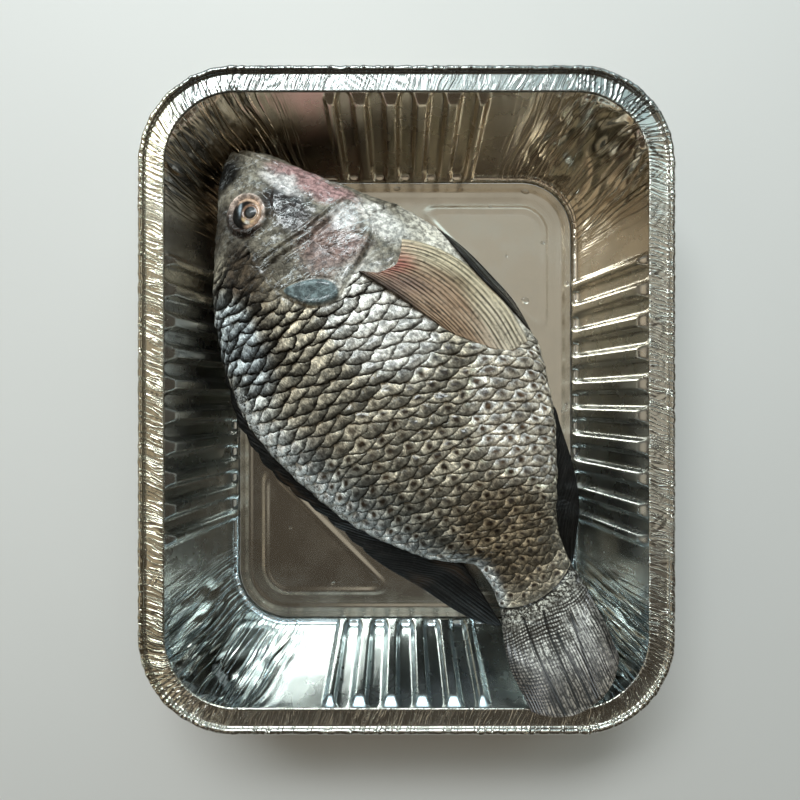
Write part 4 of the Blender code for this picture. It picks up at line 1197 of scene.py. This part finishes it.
def eye_tone(ds, dv):
    """Colours of the eye: dark grey pupil, dark ring, gold iris painted bright below it as a highlight, black cornea
    beside it with a painted glint, and a tan rim painted lighter on the side toward the light.
    """
    x, y = tray_axes(ds, dv)
    px, py = x - PUPIL[0], y - PUPIL[1]
    pupil = np.hypot(px, py)
    below = (0.35 * px - 0.94 * py) / np.maximum(pupil, 1e-9)
    radius = np.hypot(x, y)
    return painted(
        np.shape(ds), paint(13, 11, 11),
        (smooth_step(-0.0012, 0.0015, px), paint(112, 84, 62)),
        # Painted highlight: the gold iris brightened below the pupil, with a white highlight at its edge.
        (smooth_step(0.0062, 0.0050, pupil) * smooth_step(-0.1, 0.5, below), paint(238, 208, 160)),
        (smooth_step(0.0062, 0.0054, pupil) * smooth_step(0.45, 0.75, below) * smooth_step(0.0006, -0.001, px),
         paint(250, 246, 236)),
        (bump(pupil, 0.0038, 0.0007), paint(136, 100, 74)),
        (smooth_step(0.0034, 0.0030, pupil), paint(28, 22, 18)),
        (smooth_step(0.0025, 0.0017, pupil), paint(66, 68, 68)),
        # Painted highlight: a bluish-white glint on the black cornea.
        (bump(np.hypot((x + 0.0032) / 0.45, (y - 0.0024) / 1.6), 0.0, 0.0018), paint(190, 205, 215)),
        # Painted light and shade: the rim tan on its side toward the light, darker outside it and black on the far
        # side.
        (smooth_step(0.0058, 0.0070, radius) * smooth_step(-0.0045, -0.0010, x + 0.35 * y), paint(200, 168, 142)),
        (smooth_step(0.0076, 0.0084, radius) * smooth_step(-0.0060, -0.0030, x + 0.35 * y), paint(120, 98, 82)))


class FISH_OT_make_eye(bpy.types.Operator):
    """Build the eyeball in its socket"""

    bl_idname = "fish.make_eye"
    bl_label = "Eye"

    def execute(self, context):
        turns, rings = 120, 44
        angle = 2.0 * np.pi * np.arange(turns) / turns
        share = np.linspace(0.02, 1.0, rings)
        r, a = np.meshgrid(share, angle, indexing="ij")
        ds, dv = EYE_REACH * r * np.cos(a), EYE_REACH * r * np.sin(a)
        skin = flank_height(EYE[0] + ds, EYE[1] + dv)
        lens = np.hypot(ds - 0.0015, dv - 0.0020)
        height = 0.0022 * np.sqrt(np.maximum(1.0 - r * r, 0.0)) - 0.0009 + 0.0005 * bump(lens, 0.0, 0.0024)
        height += 0.0004 * bump(lens, 0.0046, 0.0009) - 0.0005 * bump(r, 0.93, 0.06)
        top = place(EYE[0] + ds, EYE[1] + dv, skin + height)
        bottom = place(EYE[0] + ds[::-1], EYE[1] + dv[::-1], (skin - 0.0035 - 0.002 * np.sqrt(1.02 - r * r))[::-1])
        points = np.concatenate([top, bottom])
        quads, caps = closed_sheet(points, np.s_[:rings])
        tone = eye_tone(ds, dv)
        made, shader, here = new_material("eye", Coat_Weight=0.6, Coat_Roughness=0.04, Roughness=0.45,
                                          Specular_IOR_Level=0.2)
        veins = ramp(grain(here, 700.0, 3.0, 0.6), 0.35, 0.65, 0.72, 1.25)
        feed(shader, Base_Color=scaled(attribute(here, "skin"), veins))
        raise_normal(shader, grain(here, 500.0), 0.2, 0.0004)
        make_piece("eye", points, quads, caps, None, None, {"skin": np.concatenate([tone, tone[::-1]])}, made)
        return {"FINISHED"}


# ---------------------------------------------------------------- the foil tray

def side_positions():
    """Places round the tray in order: side number, distance along it at the mouth, and corner angle.

    Each side runs from the end of one corner to the start of the next, then its corner follows.
    """
    side, along, angle = [], [], []
    for number in range(4):
        straight = MOUTH_HALF[1 - number % 2] - MOUTH_RADIUS
        count = int(2.0 * straight / STRAIGHT_STEP)
        place_along = np.linspace(-straight, straight, count)
        turns = np.linspace(0.0, 0.5 * np.pi, CORNER_COLUMNS + 2)[1:-1]
        side += [np.full(count + CORNER_COLUMNS, number)]
        along += [place_along, np.full(CORNER_COLUMNS, straight)]
        angle += [np.zeros(count), turns]
    return np.concatenate(side), np.concatenate(along), np.concatenate(angle)


def by_side(side, long_value, short_value):
    """The first value on the tray's long sides, the second on its short ones."""
    return np.where(side % 2 == 0, long_value, short_value)


def half_straight(side):
    """Half length of a side's straight part at the mouth."""
    return by_side(side, MOUTH_HALF[1], MOUTH_HALF[0]) - MOUTH_RADIUS


def corner_share(side, along, angle, start, lean):
    """1 in the tray's corners, 0 along its sides; start is where it begins before a corner."""
    return smooth_step(start, 0.004, np.abs(along) + lean * np.sin(2.0 * angle) - half_straight(side))


def flute_wave(side, along, narrow):
    """Flutes and ribs along a side: 1 in a flute, -1 on a rib and 0 beyond them.

    narrow shrinks each flute's width, as its rounded ends do.
    """
    zone = 0.5 * by_side(side, *FLUTES) * FLUTE_PITCH
    from_middle = np.abs(np.mod(along + zone, FLUTE_PITCH) - 0.5 * FLUTE_PITCH)
    flank = 0.5 * (FLUTE_PITCH - FLUTE_WIDTH - RIB_WIDTH)
    edge = 0.5 * FLUTE_WIDTH + 0.5 * flank
    wave = 1.0 - 2.0 * smooth_step(edge * narrow - 0.45 * flank, edge * narrow + 0.45 * flank, from_middle)
    return wave, smooth_step(zone + FLUTE_MARGIN, zone - 0.0003, np.abs(along))


def tray_outline(side, along, angle, z, widen):
    """Plan of the tray's plain wall at heights z: a rounded rectangle that widens toward the mouth.

    Returns points and outward directions. Flutes keep their place along a side at every height.
    """
    t = z / FLANGE_Z
    half_x = FLOOR_HALF[0] + t * (MOUTH_HALF[0] - FLOOR_HALF[0]) + widen
    half_y = FLOOR_HALF[1] + t * (MOUTH_HALF[1] - FLOOR_HALF[1]) + widen
    radius = FLOOR_RADIUS + t * (MOUTH_RADIUS - FLOOR_RADIUS) + widen
    out, half_along = by_side(side, half_x, half_y), by_side(side, half_y, half_x)
    zone = 0.5 * by_side(side, *FLUTES) * FLUTE_PITCH + FLUTE_MARGIN
    beyond = np.maximum(np.abs(along) - zone, 0.0) / (half_straight(side) - zone)
    straight = half_along - radius
    local_along = np.sign(along) * (np.minimum(np.abs(along), zone) + beyond * (straight - zone))
    local = np.stack([out - radius + radius * np.cos(angle), local_along + radius * np.sin(angle)], axis=-1)
    facing = np.stack(np.broadcast_arrays(np.cos(angle), np.sin(angle)), axis=-1)
    turn = 0.5 * np.pi * side
    cos, sin = np.cos(turn), np.sin(turn)

    def turned(pair):
        return np.stack([cos * pair[..., 0] - sin * pair[..., 1], sin * pair[..., 0] + cos * pair[..., 1]], axis=-1)

    return turned(local), turned(np.broadcast_to(facing, local.shape))


def round_trip(side, along, angle):
    """Distance travelled round the tray's mouth, in metres."""
    points, _ = tray_outline(side, along, angle, np.full(side.shape, FLANGE_Z), 0.0)
    steps = np.linalg.norm(np.diff(points, axis=0, append=points[:1]), axis=1)
    return np.concatenate([[0.0], np.cumsum(steps)[:-1]]), steps.sum()


def periodic_noise(trip, length, y, size, seed):
    """Noise along the closed rim: read on a circle's two sides and blended so that it joins up."""
    u = trip / length
    blend_share = smooth_step(0.92, 1.0, u)
    return (1.0 - blend_share) * noise(trip / size, y, seed) + blend_share * noise((trip - length) / size, y, seed)


def foil_wrinkles(trip, length, corner, z):
    """Folds of the wall: sharp creases that run up it and cross a little, dense in the corners.

    Sum of 1 - |noise| over three sizes, each read along a line that wanders with height.
    """
    total = 0.0
    for size, share, seed, stretch in ((0.0115, 1.1, 81, 0.085), (0.0060, 0.36, 82, 0.070), (0.0034, 0.10, 83, 0.055)):
        wander = 1.1 * size * noise(trip / (3.0 * size), z / 0.020, seed + 9) + 0.12 * z * (seed - 82)
        wave = periodic_noise(trip + wander, length, z / stretch, size, seed)
        total = total + share * (0.42 - np.abs(wave) ** 0.85)
    grow = 0.35 + 0.65 * smooth_step(0.0, 0.025, z)
    return total * grow * (0.03 + 0.97 * corner)


def foil_group():
    """Foil surface: soft dents, fine grain and sharp folds drawn along the round map."""
    found = bpy.data.node_groups.get("Foil Surface")
    if found:
        return found
    group, given, result = new_group(
        "Foil Surface", {"Place": "Vector", "Round": "Vector", "Dents": "Float", "Folds": "Float"}, ("Height", "Dull"))
    here, round_map = given["Place"], given["Round"]
    bend = add("TexNoise", {"Vector": stretched(round_map, 0.22, 2.6), "Scale": 1.0, "Detail": 1.0}, "Color")
    warped = add("VectorMath", {0: bend, 1: (3.0, 0.0, 0.0), 2: round_map}, operation="MULTIPLY_ADD")
    folds = ramp(abs(grain(warped, 1.0, 1.0) - 0.5), 0.055, 0.0) * given["Folds"]
    dents = grain(here, 45.0, 2.0, 0.45) * given["Dents"]
    feed(result, Height=dents + grain(here, 1300.0, 2.0, 0.6) * 0.006 + folds,
         Dull=ramp(grain(here, 60.0, 3.0, 0.6), 0.35, 0.7))
    return group


def foil_material(name, colour, roughness, dents, distance, fold_scale=None, reflection_tints=None, turn=(-0.13, 0.15)):
    """Bare foil: fold_scale is the number of folds per metre round the tray and across it.

    The tints are painted reflection and shade, multiplied into the foil's colour at the tail's end, at the head's end
    and along the back's side;
    turn is where along the tray the first gives way to the second.
    """
    made, shader, here = new_material(name, Metallic=1.0)
    inputs = {"Place": here, "Dents": dents, "Folds": 0.0}
    if fold_scale:
        inputs["Round"] = stretched(uv_map(here, "round"), *fold_scale)
        inputs["Folds"] = attribute(here, "folded", "Fac")
    surface = group_node(foil_group(), inputs)
    shade = mix(surface["Dull"], (*colour, 1.0), (*(0.93 * c for c in colour), 1.0))
    # Painted reflection and shade: the foil's colour is multiplied by tints that change along and across the tray.
    if reflection_tints:
        across, along, _ = parts(here)
        tail_end, head_end, back_side = ((*reflection_tint, 1.0) for reflection_tint in reflection_tints)
        reflection_tint = mix(ramp(across, *BACK_SIDE), mix(ramp(along, *turn), tail_end, head_end), back_side)
        shade = mix(1.0, shade, reflection_tint, "MULTIPLY")
    rough = ramp(surface["Dull"], 0.0, 1.0, roughness, roughness + 0.05)
    if fold_scale:
        rough = inputs["Folds"] * (-0.7 * roughness) + rough
    feed(shader, Base_Color=shade, Roughness=rough)
    raise_normal(shader, surface["Height"], 0.8, distance)
    return made


def tray_band(name, points, round_map, folded, foil):
    """A piece that closes on itself round the tray, with its round map and its share of folds."""
    quads = grid_faces(*points.shape[:2], wrap_rows=True, wrap_columns=True)
    uv = np.stack(np.broadcast_arrays(*round_map), axis=-1)
    folded = np.broadcast_to(folded[..., None], uv.shape[:2] + (3,))
    make_piece(name, points, quads, (), None, {"round": uv}, {"folded": folded}, foil, "tray")


class TRAY_OT_make_wall(bpy.types.Operator):
    """Build the tray's fluted wall with its folded corners"""

    bl_idname = "tray.make_wall"
    bl_label = "Tray Wall"

    def execute(self, context):
        looks = context.scene.tray_looks
        side, along, angle = side_positions()
        trip, length = round_trip(side, along, angle)
        corner = corner_share(side, along, angle, -0.030, 0.02)
        inner = np.concatenate([np.linspace(WALL * 0.5, 0.010, 9), np.linspace(0.012, 0.055, 18),
                                np.linspace(0.0562, FLANGE_Z, 10)])
        outer = np.concatenate([np.linspace(FLANGE_Z - WALL, 0.056, 5), np.linspace(0.050, 0.010, 6), [0.005, 0.0]])
        grids = []
        for z, thick in ((inner, 0.0), (outer, WALL)):
            z, n = np.broadcast_arrays(z[:, None], side[None, :])
            up = np.clip((z - SHELF_Z) / (FLANGE_Z - SHELF_Z), 0.0, 1.0)
            down = np.clip((FLUTE_FOOT_Z - z) / FLUTE_FOOT_Z, 0.0, 1.0)
            narrow = np.sqrt(np.maximum(1.0 - up ** 2, 0.0)) * np.sqrt(np.maximum(1.0 - 0.9 * down ** 2, 0.02))
            wave, zone = flute_wave(n, along[None, :], narrow)
            rib_share = smooth_step(FLANGE_Z - 0.0005, SHELF_Z, z) * smooth_step(0.0, 0.5 * FLUTE_FOOT_Z, z)
            flute_share = smooth_step(FLANGE_Z, FLANGE_Z - 0.001, z) * smooth_step(0.0, 0.4 * FLUTE_FOOT_Z, z)
            relief = zone * np.where(wave > 0.0, looks.flute_depth * flute_share * wave,
                                     looks.rib_depth * rib_share * wave)
            ends = smooth_step(0.0, 0.008, z) * smooth_step(FLANGE_Z, FLANGE_Z - 0.004, z)
            folds = foil_wrinkles(trip[None, :], length, corner[None, :] * (1.0 - zone), z)
            relief = (relief + looks.wrinkle_depth * folds * (0.15 + 0.85 * ends)
                      - looks.wrinkle_depth * 0.35 * ends * corner)
            foot = WALL_FOOT[0] * np.clip(1.0 - z / WALL_FOOT[1], 0.0, 1.0) ** 2
            plan, facing = tray_outline(n, along[None, :], angle[None, :], z, 0.0)
            plan = plan + (relief + thick - foot)[..., None] * facing
            grids.append(np.concatenate([plan, z[..., None]], axis=-1))
        points = np.concatenate(grids)
        # The wall's tints are painted reflection: cool at the tail's end, warm at the head's end, duller along the
        # back's side.
        foil = foil_material("wall_foil", looks.foil, 0.25, 0.45, 0.0011, (230.0, 8.0),
                             ((0.88, 0.98, 1.04), (1.10, 0.97, 0.82), (0.80, 0.80, 0.77)))
        tray_band("tray_wall", points, (trip[None, :], points[..., 2]), (0.01 + 0.75 * corner)[None, :], foil)
        return {"FINISHED"}


class TRAY_OT_make_rim(bpy.types.Operator):
    """Build the tray's creased flange and rolled bead"""

    bl_idname = "tray.make_rim"
    bl_label = "Tray Rim"

    def execute(self, context):
        looks = context.scene.tray_looks
        side, along, angle = side_positions()
        trip, length = round_trip(side, along, angle)
        bead = FLANGE_WIDTH - BEAD_RADIUS
        bead_z = TRAY_HEIGHT - BEAD_RADIUS
        flat = np.linspace(-0.0006, bead - BEAD_RADIUS, 12)
        turns = np.radians(np.linspace(160.0, -200.0, 21))
        widen = np.concatenate([flat, bead + BEAD_RADIUS * np.cos(turns), flat[::-1]])
        height = np.concatenate([np.full(12, FLANGE_Z), bead_z + BEAD_RADIUS * np.sin(turns),
                                 np.full(12, FLANGE_Z - WALL)])
        widen, height = widen[:, None], height[:, None]

        def rim_noise(y, size, seed):
            return periodic_noise(trip[None, :], length, y, size, seed)

        count = np.round(length / looks.crimp_pitch)
        phase = count * trip[None, :] / length + 1.2 * rim_noise(0.3, 0.012, 91)
        corner = corner_share(side, along, angle, -0.02, 0.03)[None, :]
        slant = phase + (0.25 + 1.2 * rim_noise(0.7, 0.05, 92)) * widen / 0.004
        sharp = (1.0 - np.abs(np.sin(np.pi * slant))) ** 2.2
        crease = (sharp - 0.2) * np.maximum(0.55 + 0.9 * rim_noise(widen / 0.012, 0.006, 93), 0.0)
        on_flange = smooth_step(-0.0004, 0.0012, widen) * smooth_step(bead + BEAD_RADIUS, bead - BEAD_RADIUS, widen)
        lift = looks.crimp_depth * crease * on_flange * (1.0 + 0.9 * corner)
        dent = rim_noise(0.1, 0.004, 94) + 0.6 * rim_noise(0.6, 0.0018, 95)
        on_bead = smooth_step(bead - BEAD_RADIUS, bead, widen)
        wide = widen + BEAD_DENT * dent * on_bead - BEAD_DENT * on_bead
        z = np.minimum(height + lift + BEAD_DENT * dent * on_bead - 0.00012 * on_bead, TRAY_HEIGHT)
        z, n = np.broadcast_arrays(z, side[None, :])
        plan, _ = tray_outline(n, along[None, :], angle[None, :], np.full(z.shape, FLANGE_Z), wide)
        points = np.concatenate([plan, z[..., None]], axis=-1)
        # The rim's tints are painted shade and reflection: darkened at the head's end and warmed along the back's side.
        foil = foil_material("rim_foil", looks.foil, 0.25, 0.25, 0.0014, (520.0, 25.0),
                             ((0.95, 0.93, 0.87), (0.42, 0.43, 0.42), (0.90, 0.83, 0.68)), (0.118, 0.146))
        tray_band("tray_rim", points, (trip[None, :] + 0.4 * widen, widen), 0.25 + 0.55 * on_bead + 0.2 * corner, foil)
        return {"FINISHED"}


def round_joint(first, second, radius):
    """Distance from the outline of two half planes' overlap, with its corner rounded."""
    a, b = first + radius, second + radius
    return np.hypot(np.maximum(a, 0.0), np.maximum(b, 0.0)) + np.minimum(np.maximum(a, b), 0.0) - radius


def rounded_box_distance(x, y, half_x, half_y, radius):
    """Distance from an upright rounded rectangle's outline: negative inside."""
    return round_joint(np.abs(x) - half_x, np.abs(y) - half_y, radius)


def triangle_distance(x, y):
    """Distance from the outline of the rounded triangle in each corner: negative inside."""
    px, py = FLOOR_HALF[0] - TRIANGLE_INSET - np.abs(x), FLOOR_HALF[1] - TRIANGLE_INSET - np.abs(y)
    leg_x, leg_y = TRIANGLE_LEGS
    beyond = (px * leg_y + py * leg_x - leg_x * leg_y) / math.hypot(leg_x, leg_y)
    return round_joint(round_joint(-px, -py, SQUARE_CORNER_RADIUS), beyond, TRIANGLE_RADIUS)


def floor_height(x, y):
    """Height of the floor's upper face: a pressed border and four rounded triangles."""
    border = rounded_box_distance(x, y, FLOOR_HALF[0] - RIDGE_INSET, FLOOR_HALF[1] - RIDGE_INSET, RIDGE_RADIUS)
    triangle = triangle_distance(x, y)
    height = np.full(np.shape(x), WALL)
    for gap in (border, triangle):
        height += PRESSED_HEIGHT * smooth_step(PRESSED_REACH, 0.0, np.abs(gap))
    return height + 0.00008 * layered_noise(x / 0.03, y / 0.03, 101, 2)


class TRAY_OT_make_floor(bpy.types.Operator):
    """Build the tray's floor with its pressed border and corner triangles"""

    bl_idname = "tray.make_floor"
    bl_label = "Tray Floor"

    def execute(self, context):
        looks = context.scene.tray_looks
        half_x, half_y = (half - FLOOR_GAP for half in FLOOR_HALF)
        radius = FLOOR_RADIUS - FLOOR_GAP
        x = np.linspace(-half_x, half_x, FLOOR_GRID[0])[:, None]
        y = np.linspace(-half_y, half_y, FLOOR_GRID[1])[None, :]
        dx = np.maximum(np.abs(x) - (half_x - radius), 0.0) / radius
        dy = np.maximum(np.abs(y) - (half_y - radius), 0.0) / radius
        across = np.sign(x) * (np.minimum(np.abs(x), half_x - radius) + radius * dx * np.sqrt(1.0 - 0.5 * dy * dy))
        along = np.sign(y) * (np.minimum(np.abs(y), half_y - radius) + radius * dy * np.sqrt(1.0 - 0.5 * dx * dx))
        z = floor_height(across, along)
        step = 0.0002
        soften = 0.30
        slope_x = (floor_height(across + step, along) - floor_height(across - step, along)) / (2.0 * step)
        slope_y = (floor_height(across, along + step) - floor_height(across, along - step)) / (2.0 * step)
        normals = np.stack([-soften * slope_x, -soften * slope_y, np.ones_like(z)], axis=-1)
        normals /= np.linalg.norm(normals, axis=-1, keepdims=True)
        top = np.stack([across, along, z], axis=-1)
        rows, columns = z.shape
        ring = np.concatenate([np.arange(columns), columns * np.arange(1, rows) + columns - 1,
                               (rows - 1) * columns + np.arange(columns - 2, -1, -1),
                               columns * np.arange(rows - 2, 0, -1)])
        rim = top.reshape(-1, 3)[ring] * (1.0, 1.0, 0.0)
        points = np.concatenate([top.reshape(-1, 3), rim])
        base = rows * columns
        count = len(ring)
        here, after = np.arange(count), (np.arange(count) + 1) % count
        skirt = np.stack([ring[here], ring[after], base + after, base + here], axis=-1)
        quads = np.concatenate([grid_faces(rows, columns), skirt])
        normals = np.concatenate([normals.reshape(-1, 3), np.tile((0.0, 0.0, -1.0), (count, 1))])
        foil = foil_material("floor_foil", looks.floor_foil, 0.17, 0.06, 0.0008)
        make_piece("tray_floor", points, quads, (base + here,), normals, None, None, foil, "tray")
        return {"FINISHED"}


DROPLETS = (
    # place on the floor and half lengths, in millimetres
    (-5.1, 129.0, 2.0, 1.6), (73.2, 127.2, 2.3, 1.8), (73.2, 60.8, 2.4, 2.0), (98.6, 71.0, 1.8, 1.5),
    (98.0, -4.5, 1.6, 2.2), (96.2, -6.8, 1.2, 1.0), (99.6, -2.0, 1.1, 0.9), (52.0, 118.0, 1.1, 0.9),
    (84.0, 96.0, 1.3, 1.1), (62.0, 88.0, 0.9, 0.8), (-70.0, -78.0, 1.2, 1.0), (-44.0, -112.0, 1.4, 1.0),
)


class TRAY_OT_make_droplets(bpy.types.Operator):
    """Build the drops of water on the tray's floor"""

    bl_idname = "tray.make_droplets"
    bl_label = "Droplets"

    def execute(self, context):
        turns, rings = 28, 9
        angle = 2.0 * np.pi * np.arange(turns) / turns
        r, a = np.meshgrid(np.sin(np.linspace(0.04, 0.5 * np.pi, rings)), angle, indexing="ij")
        points, quads, caps = [], [], []
        for number, (x, y, long_half, wide_half) in enumerate(DROPLETS):
            wobble = 1.0 + 0.10 * np.cos(2.0 * a + number) + 0.05 * np.cos(3.0 * a + 2.0 * number)
            px = 0.001 * (x + long_half * r * np.cos(a) * wobble)
            py = 0.001 * (y + wide_half * r * np.sin(a) * wobble)
            ground = floor_height(px, py)
            pz = ground + DROPLET_RISE * wide_half * np.sqrt(np.maximum(1.0 - r * r, 0.0))
            pz[-1] = ground[-1] - 0.0002
            first = number * rings * turns
            points.append(np.stack([px, py, pz], axis=-1).reshape(-1, 3))
            quads.append(grid_faces(rings, turns, wrap_columns=True, first=first))
            caps += [first + np.arange(turns), first + (rings - 1) * turns + np.arange(turns)[::-1]]
        made, shader, here = new_material("water", Roughness=0.02, IOR=1.33, Transmission_Weight=1.0)
        raise_normal(shader, grain(here, 300.0, 1.0), 0.1, 0.0003)
        make_piece("droplets", np.concatenate(points), np.concatenate(quads), caps, None, None, None, made, "tray")
        return {"FINISHED"}


# ---------------------------------------------------------------- studio

def softbox(name, position, target, size, power, colour):
    """A rectangular area light aimed at a target."""
    light = bpy.data.lights.new(name, "AREA")
    light.shape = "RECTANGLE"
    light.size, light.size_y = size
    light.energy = power
    light.color = colour
    made = bpy.data.objects.new(name, light)
    made.location = position
    made.rotation_euler = (Vector(target) - Vector(position)).to_track_quat("-Z", "Y").to_euler()
    bpy.context.scene.collection.objects.link(made)


class STAGE_OT_make_studio(bpy.types.Operator):
    """Build the plain floor, the soft lights and the camera"""

    bl_idname = "stage.make_studio"
    bl_label = "Studio"

    def execute(self, context):
        looks = context.scene.studio_looks
        mesh = bpy.data.meshes.new("studio_floor")
        mesh.from_pydata([(-4, -4, -0.0004), (4, -4, -0.0004), (4, 4, -0.0004), (-4, 4, -0.0004)], [], [(0, 1, 2, 3)])
        floor = bpy.data.objects.new("studio_floor", mesh)
        context.scene.collection.objects.link(floor)
        made, shader, here = new_material("studio_floor", Roughness=0.7)
        shade = ramp(grain(here, 3.0, 3.0), 0.3, 0.7)
        feed(shader, Base_Color=mix(shade, (*looks.floor, 1.0), (*(0.97 * c for c in looks.floor), 1.0)))
        mesh.materials.append(made)

        world = bpy.data.worlds.new("studio")
        world.use_nodes = True
        context.scene.world = world
        seen = add("LightPath", output="Is Camera Ray", tree=world.node_tree)
        feed(world.node_tree.nodes["Background"], Color=mix(seen, (0.062, 0.053, 0.042, 1.0), (0.6, 0.6, 0.6, 1.0)))
        softbox("window", (-0.30, 1.02, 1.12), (0.0, 0.0, 0.03), (1.1, 0.30), looks.window_power, (0.93, 0.98, 1.0))
        softbox("sky", (0.0, 1.55, 1.25), (0.0, 0.0, 0.03), (2.8, 1.7), looks.sky_power, (0.70, 0.93, 1.0))
        softbox("ceiling", (0.375, 0.26, 1.45), (0.375, 0.26, 0.0), (1.15, 1.38), looks.ceiling_power,
                (1.0, 0.95, 0.82))
        softbox("side", (-1.0, 0.0, 1.05), (0.0, 0.0, 0.03), (1.6, 0.9), looks.side_power, (1.0, 0.88, 0.68))

        camera = bpy.data.objects.new("camera", bpy.data.cameras.new("camera"))
        camera.location = (looks.camera_x, 0.0, looks.camera_height)
        camera.data.lens = looks.lens
        camera.data.sensor_width = 36.0
        camera.data.clip_start = 0.01
        context.scene.collection.objects.link(camera)
        context.scene.camera = camera
        context.scene.view_settings.view_transform = "Standard"
        return {"FINISHED"}


PIECES = (FISH_OT_make_body, FISH_OT_make_tail, FISH_OT_make_edge_fins, FISH_OT_make_side_fins, FISH_OT_make_eye,
          TRAY_OT_make_wall, TRAY_OT_make_rim, TRAY_OT_make_floor, TRAY_OT_make_droplets, STAGE_OT_make_studio)


class VIEW3D_PT_fish_tray(bpy.types.Panel):
    """Buttons for each piece, with its settings"""

    bl_label = "Whole Fish in Foil Tray"
    bl_idname = "VIEW3D_PT_fish_tray"
    bl_space_type = "VIEW_3D"
    bl_region_type = "UI"
    bl_category = "Fish Tray"

    def draw(self, context):
        for piece in PIECES:
            self.layout.operator(piece.bl_idname)
        for looks in (context.scene.fish_looks, context.scene.tray_looks, context.scene.studio_looks):
            box = self.layout.box()
            for key in looks.__annotations__:
                box.prop(looks, key)


CLASSES = (FishLooks, TrayLooks, StudioLooks) + PIECES + (VIEW3D_PT_fish_tray,)


def register():
    """Add the settings, the operators and the panel."""
    for each in CLASSES:
        bpy.utils.register_class(each)
    bpy.types.Scene.fish_looks = bpy.props.PointerProperty(type=FishLooks)
    bpy.types.Scene.tray_looks = bpy.props.PointerProperty(type=TrayLooks)
    bpy.types.Scene.studio_looks = bpy.props.PointerProperty(type=StudioLooks)


def unregister():
    """Take them away again."""
    for key in ("fish_looks", "tray_looks", "studio_looks"):
        delattr(bpy.types.Scene, key)
    for each in reversed(CLASSES):
        bpy.utils.unregister_class(each)


def main():
    """Build every piece and the studio."""
    register()
    for piece in PIECES:
        group, name = piece.bl_idname.split(".")
        getattr(getattr(bpy.ops, group), name)()


if __name__ == "__main__":
    main()
